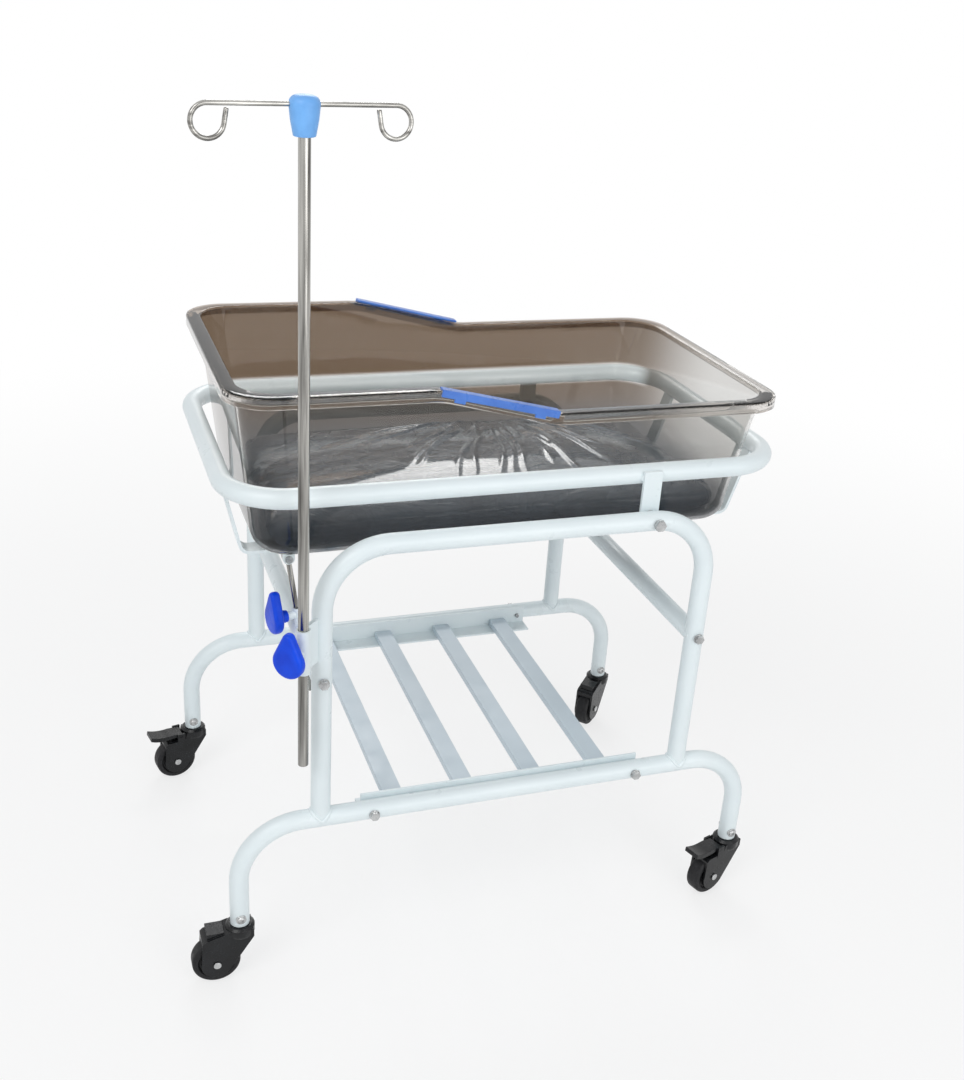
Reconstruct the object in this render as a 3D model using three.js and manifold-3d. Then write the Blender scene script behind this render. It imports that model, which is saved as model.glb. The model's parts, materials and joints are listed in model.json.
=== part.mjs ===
// Hospital bassinet: a white tube stand on four swivel casters, with a slatted shelf and a drip
// pole, carries a tilting cradle that holds a smoky clear tub and its mattress.
// Millimetres, +Z up. +X points to the foot end, and -Y to the side with the drip pole.
// The origin is on the floor, under the middle of the object's bounding box.
import * as THREE from 'three';
import { mergeVertices } from 'three/addons/utils/BufferGeometryUtils.js';
import Module from 'manifold-3d';

const wasm = await Module();
wasm.setup();

// Stock and clearances
const tubeDiameter = 25;
const tubeSides = 16;
const bendRadius = 80;
const bendSteps = 7;
const roundSides = 16;
const seatGap = 0.3;
const holeClearance = 0.3;

// Side frames: a bow that stands on the casters, and an arch on the bow
const frameSpacing = 470;
const wheelBase = 708;
const tubeEndHeight = 83;
const bowHeight = 228;
const archSpan = 500;
const railHeight = 602;
const crossTubeHeight = 431;

// Bolts
const boltDiameter = 6;
const boltHeadAcross = 11;
const boltHeadHeight = 4.5;
const boltGrip = 18;
const washerDiameter = 14;
const washerThickness = 1.2;

// Shelf
const angleLeg = 30;
const angleThickness = 3;
const angleLength = 390;
const shelfBoltInset = 12;
const shelfBoltSpacing = angleLength - 2 * shelfBoltInset;
const barCount = 4;
const barPitch = 98;
const barWidth = 26;
const barThickness = 10;
const barEdge = 1.5;

// Cradle
const pivotX = 170;
const pivotBoltDiameter = 8;
const pivotHeadAcross = 13;
const pivotHeadHeight = 5.5;
const pivotNutHeight = 6.5;
const pivotThreadEnd = 2;
const ringOffset = 8;
const ringLength = 714;
const ringWidth = 404;
const ringHeight = 653;
const ringBend = 74;
const postWidth = 25;
const postThickness = 5;
const postLap = 8;
const strapSpacing = 230;
const strapWidth = 25;
const strapThickness = 4;
const strapFoot = 30;
const strapBend = 12;
const strapBendSteps = 4;

// Tub
const tubOffset = 5;
const tubFloor = 556;
const tubWall = 4;
const tubFillet = 32;
const tubCorner = 40;
const cornerSteps = 5;
const filletSteps = 3;
const tubFloorLength = 642;
const tubFloorWidth = 344;
const tubRimLength = 710;
const tubRimWidth = 412;
const rimFlange = 14;
const rimLip = 14;
const rimEdge = 2;
const headRimHeight = 775;
const footRimHeight = 739;
const rampStart = -107;
const rampEnd = 41;
const rampBlend = 8;

// Grip strips on the sloped part of the rim
const gripReach = 10;
const gripThickness = 3;
const gripSkirt = 6;
const gripTabLength = 14;
const gripTabDepth = 4;
const gripTabInset = 24;

// Mattress
const mattressClearance = 6;
const mattressThickness = 38;
const mattressCrown = 7;
const mattressWaist = 3;
const mattressEdge = 8;

// Tilt rod, its sleeve in the head cross tube, and its clevis under the near strap
const rodDiameter = 7;
const rodPlay = 1.65;
const rodTail = 198;
const rodPinDrop = 13.7;
const rodPinDiameter = 6;
const rodEyeDiameter = 15;
const rodEyeThickness = 7;
const sleeveBore = 10.8;
const sleeveWall = 1.4;
const sleeveAbove = 36;
const sleeveBelow = 17;
const lugEar = 4;
const lugWidth = 15;
const lugPlate = 3;

// Clamp knobs
const knobScrewDiameter = 6;
const knobBossDiameter = 11;
const knobHubDiameter = 15;
const knobLobe = 20;
const knobTip = 7;
const knobReach = 30;
const knobThickness = 8;
const knobEdge = 2.4;
const tiltKnobTurn = 12;
const tiltKnobRise = 26;
const tiltBossLength = 9;
const tiltNeck = 10;
const poleBossLength = 7;
const poleNeck = 7;

// Drip pole and its socket on the near head leg
const poleDiameter = 12.7;
const poleFoot = 331;
const poleStandOff = 39.5;
const socketWall = 2;
const socketFoot = 459;
const socketLength = 57;
const socketPlate = 5;
const socketPlateRise = 2;
const capFoot = 1052;
const capHeight = 45;
const capFootDiameter = 23;
const capTopDiameter = 31;
const capSocketDepth = 22;
const hookTurn = 5.5;
const hookWire = 5;
const hookSides = 8;
const hookSpan = 188;
const hookRadius = 16;
const hookSweep = 290;
const hookSteps = 18;
const hookDrop = 9;

// Casters
const wheelDiameter = 62;
const wheelWidth = 21;
const wheelSides = 28;
const wheelHubDiameter = 22;
const wheelRim = 8;
const wheelDish = 3;
const wheelShoulder = 3.5;
const wheelGap = 0.9;
const casterTrail = 32;
const axleDiameter = 6;
const axleHeadDiameter = 10;
const axleHeadHeight = 2.2;
const forkCheek = 3.6;
const forkWell = 3;
const forkAxleLobe = 20;
const forkBossDiameter = 38;
const forkBossHeight = 15;
const forkHoodReach = 50;
const forkHoodTop = 70;
const forkHoodFoot = 60;
const forkBlockHeight = 9;
const stemDiameter = 11;
const stemSocket = 40;
const stemBelow = 18;
const pedalReach = 46;
const pedalWidth = 24;
const pedalThickness = 5;
const pedalHingeX = -25;
const pedalHingeZ = 76;
const pedalPin = 4;

const tubeRadius = tubeDiameter / 2;
const frameY = frameSpacing / 2;
const strapTop = tubFloor - seatGap;
const strapMiddle = strapTop - strapThickness / 2;
const rodPinHeight = strapTop - strapThickness - rodPinDrop;
const legX = archSpan / 2;
const stemX = wheelBase / 2;
const axleHeight = wheelDiameter / 2;
const up = new THREE.Vector3(0, 0, 1);

// Materials, with the colours of the object
function finish(color, roughness, metalness) {
  return new THREE.MeshStandardMaterial({ color, roughness, metalness });
}
const whitePaint = finish(0xe8eeee, 0.35, 0.1);
const steel = finish(0xb9b6b0, 0.22, 1);
const zinc = finish(0xb4b8ba, 0.4, 1);
const smokyPlastic = new THREE.MeshStandardMaterial({
  color: 0x7d6d5f, roughness: 0.08, metalness: 0, transparent: true, opacity: 0.55,
});
const gripBlue = finish(0x3f74cf, 0.4, 0);
const knobBlue = finish(0x0a4ff0, 0.45, 0);
const capBlue = finish(0x73b6ff, 0.45, 0);
const padVinyl = finish(0x252c38, 0.35, 0);
const casterBlack = finish(0x0c0e10, 0.4, 0);

// Booleans on closed meshes
function toSolid(geometry) {
  const bare = geometry.clone();
  bare.deleteAttribute('normal');
  bare.deleteAttribute('uv');
  const merged = mergeVertices(bare, 1e-4);
  const mesh = new wasm.Mesh({
    numProp: 3,
    vertProperties: new Float32Array(merged.attributes.position.array),
    triVerts: new Uint32Array(merged.index.array),
  });
  return new wasm.Manifold(mesh);
}

function toGeometry(solid) {
  const mesh = solid.getMesh();
  const geometry = new THREE.BufferGeometry();
  geometry.setAttribute('position', new THREE.BufferAttribute(new Float32Array(mesh.vertProperties), 3));
  geometry.setIndex(new THREE.BufferAttribute(new Uint32Array(mesh.triVerts), 1));
  geometry.computeVertexNormals();
  return geometry;
}

function cut(geometry, tools) {
  return toGeometry(tools.reduce((body, tool) => body.subtract(toSolid(tool)), toSolid(geometry)));
}

function join(geometries) {
  return toGeometry(geometries.map(toSolid).reduce((body, next) => body.add(next)));
}

// Routes: stations with a point and a tangent, for tubes, bars and wires
class Route extends THREE.Curve {
  constructor(stations) {
    super();
    this.stations = stations;
  }

  station(t) {
    return this.stations[Math.round(t * (this.stations.length - 1))];
  }

  getPoint(t, target = new THREE.Vector3()) {
    return target.copy(this.station(t).point);
  }

  getTangent(t, target = new THREE.Vector3()) {
    return target.copy(this.station(t).tangent);
  }

  getUtoTmapping(u) {
    return u;
  }
}

function direction(from, to) {
  return new THREE.Vector3().subVectors(to, from).normalize();
}

function bendStations(before, corner, after, radius, steps) {
  const arriving = direction(before, corner);
  const leaving = direction(corner, after);
  const turn = arriving.angleTo(leaving);
  const setback = radius * Math.tan(turn / 2);
  const start = corner.clone().addScaledVector(arriving, -setback);
  const axis = new THREE.Vector3().crossVectors(arriving, leaving).normalize();
  const centre = start.clone().addScaledVector(new THREE.Vector3().crossVectors(axis, arriving), radius);
  const spoke = start.clone().sub(centre);
  return Array.from({ length: steps + 1 }, (_, i) => {
    const angle = turn * i / steps;
    return {
      point: spoke.clone().applyAxisAngle(axis, angle).add(centre),
      tangent: arriving.clone().applyAxisAngle(axis, angle),
    };
  });
}

function openRoute(corners, radius, steps) {
  const last = corners.length - 1;
  const stations = [{ point: corners[0], tangent: direction(corners[0], corners[1]) }];
  for (let i = 1; i < last; i += 1) {
    stations.push(...bendStations(corners[i - 1], corners[i], corners[i + 1], radius, steps));
  }
  stations.push({ point: corners[last], tangent: direction(corners[last - 1], corners[last]) });
  return stations;
}

function circlePoints(radius, sides) {
  return Array.from({ length: sides }, (_, i) => {
    const angle = 2 * Math.PI * i / sides;
    return new THREE.Vector2(radius * Math.cos(angle), radius * Math.sin(angle));
  });
}

function sweep(section, stations) {
  return new THREE.ExtrudeGeometry(new THREE.Shape(section), {
    steps: stations.length - 1,
    extrudePath: new Route(stations),
    bevelEnabled: false,
  });
}

function tube(stations, diameter, sides) {
  return sweep(circlePoints(diameter / 2, sides), stations);
}

function rod(diameter, from, to, sides = roundSides) {
  const tangent = direction(from, to);
  return tube([{ point: from, tangent }, { point: to, tangent }], diameter, sides);
}

function point(x, y, z) {
  return new THREE.Vector3(x, y, z);
}

function rectanglePoints(width, height) {
  const x = width / 2;
  const y = height / 2;
  return [[-x, -y], [x, -y], [x, y], [-x, y]].map(([a, b]) => new THREE.Vector2(a, b));
}

function box(low, high) {
  const size = high.map((value, i) => value - low[i]);
  const geometry = new THREE.BoxGeometry(...size);
  geometry.translate(...low.map((value, i) => value + size[i] / 2));
  return geometry;
}

// A profile of [radius, height] pairs, turned about Z
function turned(profile, sides, start = 0) {
  const points = profile.map(([radius, height]) => new THREE.Vector2(radius, height));
  const geometry = new THREE.LatheGeometry(points, sides, start);
  geometry.rotateX(Math.PI / 2);
  return geometry;
}

// A flat outline in X and Z, thick along Y and centred on y = 0
function plateXZ(shape, thickness, curveSegments = 8) {
  const geometry = new THREE.ExtrudeGeometry(shape, { depth: thickness, bevelEnabled: false, curveSegments });
  geometry.rotateX(Math.PI / 2);
  geometry.translate(0, thickness / 2, 0);
  return geometry;
}

// A closed skin over rings with equal counts of points, flat at both ends
function loft(rings) {
  const count = rings[0].length;
  const positions = rings.flat().flatMap((p) => [p.x, p.y, p.z]);
  const index = [];
  for (let i = 0; i < rings.length - 1; i += 1) {
    for (let j = 0; j < count; j += 1) {
      const next = (j + 1) % count;
      const a = i * count + j;
      const b = (i + 1) * count + j;
      const c = (i + 1) * count + next;
      const d = i * count + next;
      index.push(a, b, c, a, c, d);
    }
  }
  const addCap = (ring, offset, flipped) => {
    const centre = ring.reduce((sum, p) => sum.add(p), new THREE.Vector3()).divideScalar(count);
    const hub = positions.length / 3;
    positions.push(centre.x, centre.y, centre.z);
    for (let j = 0; j < count; j += 1) {
      const a = offset + j;
      const b = offset + (j + 1) % count;
      index.push(...(flipped ? [hub, b, a] : [hub, a, b]));
    }
  };
  addCap(rings[0], 0, false);
  addCap(rings[rings.length - 1], (rings.length - 1) * count, true);
  const geometry = new THREE.BufferGeometry();
  geometry.setAttribute('position', new THREE.Float32BufferAttribute(positions, 3));
  geometry.setIndex(index);
  geometry.computeVertexNormals();
  return geometry;
}

// A rounded rectangle, anticlockwise from above, with extra stations along its two long sides
function roundedOutline(halfLength, halfWidth, radius, stations) {
  const near = stations.map((x) => [x, -halfWidth]);
  const far = [...stations].reverse().map((x) => [x, halfWidth]);
  const corner = (signX, signY, startAngle) => Array.from({ length: cornerSteps + 1 }, (_, i) => {
    const angle = THREE.MathUtils.degToRad(startAngle + 90 * i / cornerSteps);
    const x = signX * (halfLength - radius) + radius * Math.cos(angle);
    return [x, signY * (halfWidth - radius) + radius * Math.sin(angle)];
  });
  return [...near, ...corner(1, -1, -90), ...corner(1, 1, 0), ...far, ...corner(-1, 1, 90), ...corner(-1, -1, 180)];
}

// A tube bent to a closed level loop
function levelLoop(stations, diameter, sides) {
  const positions = [];
  const index = [];
  const section = circlePoints(diameter / 2, sides);
  stations.forEach(({ point: centre, tangent }, i) => {
    const across = new THREE.Vector3().crossVectors(tangent, up);
    for (const { x, y } of section) {
      const p = centre.clone().addScaledVector(across, x).addScaledVector(up, y);
      positions.push(p.x, p.y, p.z);
    }
    const here = i * sides;
    const there = ((i + 1) % stations.length) * sides;
    for (let j = 0; j < sides; j += 1) {
      const k = (j + 1) % sides;
      index.push(here + j, there + k, here + k, here + j, there + j, there + k);
    }
  });
  const geometry = new THREE.BufferGeometry();
  geometry.setAttribute('position', new THREE.Float32BufferAttribute(positions, 3));
  geometry.setIndex(index);
  geometry.computeVertexNormals();
  return geometry;
}

const bassinet = new THREE.Group();

function add(name, geometry, material, parent = bassinet) {
  const mesh = new THREE.Mesh(geometry, material);
  mesh.name = name;
  parent.add(mesh);
  return mesh;
}

// Hexagon-headed bolt along Z: the head stands on z = 0, and the shank runs down
function bolt(diameter, headAcross, headHeight, length) {
  const hexagon = circlePoints(headAcross / Math.sqrt(3), 6);
  const head = new THREE.ExtrudeGeometry(new THREE.Shape(hexagon), { depth: headHeight, bevelEnabled: false });
  head.translate(0, 0, washerThickness);
  const washer = rod(washerDiameter, point(0, 0, 0), point(0, 0, washerThickness + 0.5));
  const shank = rod(diameter, point(0, 0, -length), point(0, 0, washerThickness), 12);
  return join([head, washer, shank]);
}

// Side +1 is the far side and -1 the near side: an axis along Z turns to point outwards
function faceOutward(mesh, side, x, z) {
  mesh.rotation.x = -side * Math.PI / 2;
  mesh.position.set(x, side * (frameY + tubeRadius + seatGap), z);
}

function crossHole(diameter, x, z) {
  const reach = tubeDiameter;
  return rod(diameter + 2 * holeClearance, point(x, -reach, z), point(x, reach, z), 12);
}

// Stand: bows, arches and cross tubes
function bowGeometry() {
  const corners = [
    point(-stemX, 0, tubeEndHeight), point(-stemX, 0, bowHeight),
    point(stemX, 0, bowHeight), point(stemX, 0, tubeEndHeight),
  ];
  const socketTop = tubeEndHeight + stemSocket + seatGap;
  const sockets = [-stemX, stemX].map((x) => rod(
    stemDiameter + 2 * holeClearance, point(x, 0, tubeEndHeight - 1), point(x, 0, socketTop),
  ));
  const shelfHoles = [-1, 1].map((end) => crossHole(boltDiameter, end * shelfBoltSpacing / 2, bowHeight));
  return cut(tube(openRoute(corners, bendRadius, bendSteps), tubeDiameter, tubeSides), [...sockets, ...shelfHoles]);
}

function archGeometry() {
  const corners = [
    point(-legX, 0, bowHeight), point(-legX, 0, railHeight),
    point(legX, 0, railHeight), point(legX, 0, bowHeight),
  ];
  const bowStretch = rod(
    tubeDiameter + 2 * seatGap,
    point(-legX - tubeDiameter, 0, bowHeight), point(legX + tubeDiameter, 0, bowHeight),
  );
  const boltHoles = [-legX, legX].map((x) => crossHole(boltDiameter, x, crossTubeHeight));
  const pivotHole = crossHole(pivotBoltDiameter, pivotX, railHeight);
  const arch = tube(openRoute(corners, bendRadius, bendSteps), tubeDiameter, tubeSides);
  return cut(arch, [bowStretch, ...boltHoles, pivotHole]);
}

// The tilt rod's line: square to the arm from the pivot, through a point beside the cross tube's axis
const rodGuideX = -legX - rodPlay;
const rodSum = pivotX + rodGuideX;
const rodProduct = pivotX * rodGuideX
  + (rodPinHeight - railHeight) * (rodPinHeight - crossTubeHeight);
const rodPinX = (rodSum - Math.sqrt(rodSum ** 2 - 4 * rodProduct)) / 2;
const rodY = -strapSpacing / 2;
const rodPinPoint = point(rodPinX, rodY, rodPinHeight);
const rodDown = direction(rodPinPoint, point(rodGuideX, rodY, crossTubeHeight));
const sleeveCentre = point(-legX, rodY, crossTubeHeight);
const sleeveTop = sleeveCentre.clone().addScaledVector(rodDown, -sleeveAbove);
const sleeveBottom = sleeveCentre.clone().addScaledVector(rodDown, sleeveBelow);
const sleeveDiameter = sleeveBore + 2 * sleeveWall;

function crossTubeGeometry(x) {
  const bar = rod(tubeDiameter, point(x, -frameY, crossTubeHeight), point(x, frameY, crossTubeHeight), tubeSides);
  const legs = [-frameY, frameY].map((y) => rod(
    tubeDiameter + 2 * seatGap,
    point(x, y, crossTubeHeight - tubeDiameter), point(x, y, crossTubeHeight + tubeDiameter),
  ));
  const boltReach = frameY - tubeRadius - boltGrip - 1;
  const holes = [-1, 1].map((side) => rod(
    boltDiameter + 2 * holeClearance,
    point(x, side * frameY, crossTubeHeight), point(x, side * boltReach, crossTubeHeight), 12,
  ));
  return cut(bar, [...legs, ...holes]);
}

function headCrossTubeGeometry() {
  return cut(crossTubeGeometry(-legX), [rod(sleeveDiameter + 2 * seatGap, sleeveTop, sleeveBottom)]);
}

const stand = new THREE.Group();
bassinet.add(stand);
const sides = [['near', -1], ['far', 1]];
for (const [label, side] of sides) {
  add(`${label}_bow`, bowGeometry(), whitePaint, stand).position.y = side * frameY;
  add(`${label}_arch`, archGeometry(), whitePaint, stand).position.y = side * frameY;
  for (const [end, x] of [['head', -legX], ['foot', legX]]) {
    const shank = tubeDiameter + seatGap + boltGrip;
    const crossBolt = bolt(boltDiameter, boltHeadAcross, boltHeadHeight, shank);
    faceOutward(add(`${label}_${end}_cross_bolt`, crossBolt, zinc, stand), side, x, crossTubeHeight);
  }
}
add('head_cross_tube', headCrossTubeGeometry(), whitePaint, stand);
add('foot_cross_tube', crossTubeGeometry(legX), whitePaint, stand);

// Shelf: an angle bolted inside each bow, and flat bars across the two ledges
const angleFaceY = frameY - tubeRadius - seatGap;
const angleFoot = bowHeight - angleLeg / 2;
const angleInnerY = angleFaceY - angleThickness;

function angleGeometry(side) {
  const wall = box(
    [-angleLength / 2, Math.min(side * angleFaceY, side * angleInnerY), angleFoot],
    [angleLength / 2, Math.max(side * angleFaceY, side * angleInnerY), angleFoot + angleLeg],
  );
  const ledgeY = angleFaceY - angleLeg;
  const ledge = box(
    [-angleLength / 2, Math.min(side * angleFaceY, side * ledgeY), angleFoot],
    [angleLength / 2, Math.max(side * angleFaceY, side * ledgeY), angleFoot + angleThickness],
  );
  const holes = [-1, 1].map((end) => {
    const hole = crossHole(boltDiameter, end * shelfBoltSpacing / 2, bowHeight);
    hole.translate(0, side * angleInnerY, 0);
    return hole;
  });
  return cut(join([wall, ledge]), holes);
}

function barGeometry() {
  const length = 2 * (angleInnerY - seatGap);
  const shape = new THREE.Shape(rectanglePoints(barWidth - 2 * barEdge, barThickness - 2 * barEdge));
  const geometry = new THREE.ExtrudeGeometry(shape, {
    depth: length - 2 * barEdge, bevelSize: barEdge, bevelThickness: barEdge, bevelSegments: 2,
  });
  geometry.translate(0, 0, barEdge - length / 2);
  geometry.rotateX(Math.PI / 2);
  return geometry;
}

for (const [label, side] of sides) {
  add(`${label}_shelf_angle`, angleGeometry(side), whitePaint, stand);
  for (const [end, sign] of [['head', -1], ['foot', 1]]) {
    const shank = tubeDiameter + 2 * seatGap + angleThickness + boltHeadHeight;
    const shelfBolt = bolt(boltDiameter, boltHeadAcross, boltHeadHeight, shank);
    const mesh = add(`${label}_${end}_shelf_bolt`, shelfBolt, zinc, stand);
    faceOutward(mesh, side, sign * shelfBoltSpacing / 2, bowHeight);
  }
}
for (let i = 0; i < barCount; i += 1) {
  const bar = add(`shelf_bar_${i + 1}`, barGeometry(), whitePaint, stand);
  const seat = angleFoot + angleThickness + seatGap;
  bar.position.set((i - (barCount - 1) / 2) * barPitch, 0, seat + barThickness / 2);
}

// Cradle: a level tube loop, two pivot posts, two straps under the tub
const ringY = ringWidth / 2;
const ringHeadX = ringOffset - ringLength / 2;
const ringFootX = ringOffset + ringLength / 2;
const cradle = new THREE.Group();
bassinet.add(cradle);

function ringGeometry() {
  const corners = [[ringHeadX, -ringY], [ringFootX, -ringY], [ringFootX, ringY], [ringHeadX, ringY]]
    .map(([x, y]) => point(x, y, ringHeight));
  const stations = corners.flatMap((corner, i) => {
    const before = corners[(i + corners.length - 1) % corners.length];
    const after = corners[(i + 1) % corners.length];
    return bendStations(before, corner, after, ringBend, bendSteps);
  });
  return levelLoop(stations, tubeDiameter, tubeSides);
}

const postInnerY = ringY + tubeRadius + seatGap;
const postOuterY = postInnerY + postThickness;

function postGeometry() {
  const shape = new THREE.Shape();
  const half = postWidth / 2;
  shape.moveTo(half, ringHeight + postLap);
  shape.lineTo(-half, ringHeight + postLap);
  shape.lineTo(-half, railHeight);
  shape.absarc(0, railHeight, half, Math.PI, 2 * Math.PI, false);
  const plate = plateXZ(shape, postThickness);
  return cut(plate, [crossHole(pivotBoltDiameter, 0, railHeight)]);
}

// The bolt's bearing face is z = 0: a collar fills the space from rail to post, and a nut holds the post
function pivotBoltGeometry() {
  const face = frameY + tubeRadius + seatGap;
  const collarOuter = frameY - tubeRadius - seatGap - face;
  const collarInner = postOuterY + seatGap - face;
  const nutOuter = postInnerY - seatGap - face;
  const nutInner = nutOuter - pivotNutHeight;
  const shank = pivotThreadEnd - nutInner;
  const collar = rod(2 * pivotBoltDiameter, point(0, 0, collarInner), point(0, 0, collarOuter));
  const hexagon = new THREE.Shape(circlePoints(pivotHeadAcross / Math.sqrt(3), 6));
  const nut = new THREE.ExtrudeGeometry(hexagon, { depth: pivotNutHeight, bevelEnabled: false });
  nut.translate(0, 0, nutInner);
  return join([bolt(pivotBoltDiameter, pivotHeadAcross, pivotHeadHeight, shank), collar, nut]);
}

function strapGeometry() {
  const footLength = ringFootX - strapFoot;
  const headLength = ringHeadX + strapFoot - 6;
  const corners = [
    point(ringHeadX, 0, ringHeight), point(headLength, 0, strapMiddle),
    point(footLength, 0, strapMiddle), point(ringFootX, 0, ringHeight),
  ];
  const strap = sweep(rectanglePoints(strapWidth, strapThickness), openRoute(corners, strapBend, strapBendSteps));
  const endBars = [ringHeadX, ringFootX].map((x) => rod(
    tubeDiameter + 2 * seatGap, point(x, -strapWidth, ringHeight), point(x, strapWidth, ringHeight),
  ));
  return cut(strap, endBars);
}

add('cradle_ring', ringGeometry(), whitePaint, cradle);
for (const [label, side] of sides) {
  const post = add(`${label}_pivot_post`, postGeometry(), whitePaint, cradle);
  post.position.set(pivotX, side * (postInnerY + postThickness / 2), 0);
  faceOutward(add(`${label}_pivot_bolt`, pivotBoltGeometry(), zinc, stand), side, pivotX, railHeight);
  add(`${label}_strap`, strapGeometry(), whitePaint, cradle).position.y = side * strapSpacing / 2;
}

// Tub: a tapered shell with a filleted floor, a flanged rim with a lip, and a rim that steps down
const tubFloorHalf = [tubFloorLength / 2, tubFloorWidth / 2];
const tubRimHalf = [tubRimLength / 2, tubRimWidth / 2];
const tubTopHalf = tubRimHalf.map((half) => half - rimFlange);
const tubMidHalf = tubTopHalf.map((half, i) => (half + tubFloorHalf[i]) / 2);
const rampSlope = (footRimHeight - headRimHeight) / (rampEnd - rampStart + rampBlend);

function rimHeight(x) {
  const first = rampStart - rampBlend;
  const last = rampEnd + rampBlend;
  const drop = (distance) => rampSlope * distance ** 2 / (4 * rampBlend);
  if (x <= first) return headRimHeight;
  if (x < rampStart) return headRimHeight + 2 * drop(x - first);
  if (x <= rampEnd) return headRimHeight + rampSlope * (x - rampStart + rampBlend / 2);
  if (x < last) return footRimHeight - 2 * drop(last - x);
  return footRimHeight;
}

const tubStations = [-rampBlend, -rampBlend / 2, 0].map((step) => rampStart + step)
  .concat([0, rampBlend / 2, rampBlend].map((step) => rampEnd + step));

// One ring of the tub: half sizes grown by an inset or outset, at a height that may follow the rim
function tubRing(half, grow, height) {
  const local = tubStations.map((x) => x - tubOffset);
  return roundedOutline(half[0] + grow, half[1] + grow, tubCorner + grow, local)
    .map(([x, y]) => point(x + tubOffset, y, height(x + tubOffset)));
}

function tubGeometry() {
  const wallFoot = tubFloor + tubFillet;
  const at = (z) => () => z;
  const below = (drop) => (x) => rimHeight(x) - drop;
  const midWall = (x) => (wallFoot + rimHeight(x)) / 2;
  const filletRing = (wall, step) => {
    const angle = Math.PI / 2 * step / filletSteps;
    const radius = tubFillet - wall;
    const height = tubFloor + wall + radius * (1 - Math.cos(angle));
    return tubRing(tubFloorHalf, radius * Math.sin(angle) - tubFillet, at(height));
  };
  const fillet = (wall) => Array.from({ length: filletSteps + 1 }, (_, i) => filletRing(wall, i));
  return loft([
    ...fillet(tubWall),
    tubRing(tubMidHalf, -tubWall, midWall),
    tubRing(tubTopHalf, -tubWall, below(rimEdge)),
    tubRing(tubTopHalf, rimEdge - tubWall, below(0)),
    tubRing(tubRimHalf, -rimEdge, below(0)),
    tubRing(tubRimHalf, 0, below(rimEdge)),
    tubRing(tubRimHalf, 0, below(rimLip)),
    tubRing(tubRimHalf, -tubWall, below(rimLip)),
    tubRing(tubRimHalf, -tubWall, below(tubWall)),
    tubRing(tubTopHalf, 0, below(tubWall)),
    tubRing(tubMidHalf, 0, midWall),
    ...fillet(0).reverse(),
  ]);
}

const tub = new THREE.Group();
bassinet.add(tub);
add('tub', tubGeometry(), smokyPlastic, tub);

// Grip strips: an edge channel over the lip of the ramp, with two tabs under its skirt
function gripGeometry(side) {
  const edge = tubRimHalf[1];
  const run = rampEnd - rampStart;
  const tilt = Math.atan(rampSlope);
  const length = run / Math.cos(tilt);
  const top = seatGap + gripThickness;
  const outer = edge + seatGap + gripThickness;
  const section = [
    [edge - gripReach, seatGap], [edge + seatGap, seatGap], [edge + seatGap, -gripSkirt],
    [outer, -gripSkirt], [outer, top], [edge - gripReach, top],
  ].map(([y, z]) => new THREE.Vector2(-z, side * y));
  const stations = [-length / 2, length / 2].map((x) => ({ point: point(x, 0, 0), tangent: point(1, 0, 0) }));
  const channel = sweep(section, stations);
  const ys = [side * (edge + seatGap), side * outer].sort((a, b) => a - b);
  const tabs = [-1, 1].map((end) => {
    const x = end * (length / 2 - gripTabInset);
    const half = gripTabLength / 2;
    return box([x - half, ys[0], -gripSkirt - gripTabDepth], [x + half, ys[1], -gripSkirt + 1]);
  });
  const grip = join([channel, ...tabs]);
  grip.rotateY(-tilt);
  grip.translate((rampStart + rampEnd) / 2, 0, rimHeight((rampStart + rampEnd) / 2));
  return grip;
}
for (const [label, side] of sides) {
  add(`${label}_grip`, gripGeometry(side), gripBlue, tub);
}

// Mattress: a flat pad with a crowned top, rolled edges and sides drawn in between its corners
function mattressGeometry() {
  const floor = tubFloor + tubWall + seatGap;
  const filletInside = tubFillet - tubWall;
  const inset = (rise) => {
    const lift = Math.min(rise, filletInside);
    const reach = Math.sqrt(filletInside ** 2 - (filletInside - lift) ** 2);
    return reach - tubFillet - mattressClearance;
  };
  const ring = (grow, height, shrink = 1, waist = 0) => tubRing(tubFloorHalf, grow, () => height).map((p) => {
    const across = 1 - Math.abs((p.x - tubOffset) / tubFloorHalf[0]);
    const along = 1 - Math.abs(p.y / tubFloorHalf[1]);
    const x = tubOffset + (p.x - tubOffset) * shrink - Math.sign(p.x - tubOffset) * waist * along;
    return point(x, p.y * shrink - Math.sign(p.y) * waist * across, p.z);
  });
  const full = inset(mattressThickness);
  const crown = (share) => floor + mattressThickness + mattressCrown * (1 - share ** 2);
  return loft([
    ...[0.25, 0.5, 0.75, 0.92].map((share) => ring(full - mattressEdge, crown(share), share, 0)),
    ring(full - mattressEdge / 2, floor + mattressThickness - 1, 1, mattressWaist),
    ring(full, floor + mattressThickness - mattressEdge, 1, mattressWaist),
    ring(full - mattressWaist, floor + mattressThickness / 2, 1, 2 * mattressWaist),
    ring(inset(mattressEdge), floor + mattressEdge, 1, mattressWaist),
    ring(inset(2), floor + 2, 1, 0),
    ring(inset(0), floor, 1, 0),
  ]);
}
add('mattress', mattressGeometry(), padVinyl, tub);

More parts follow.
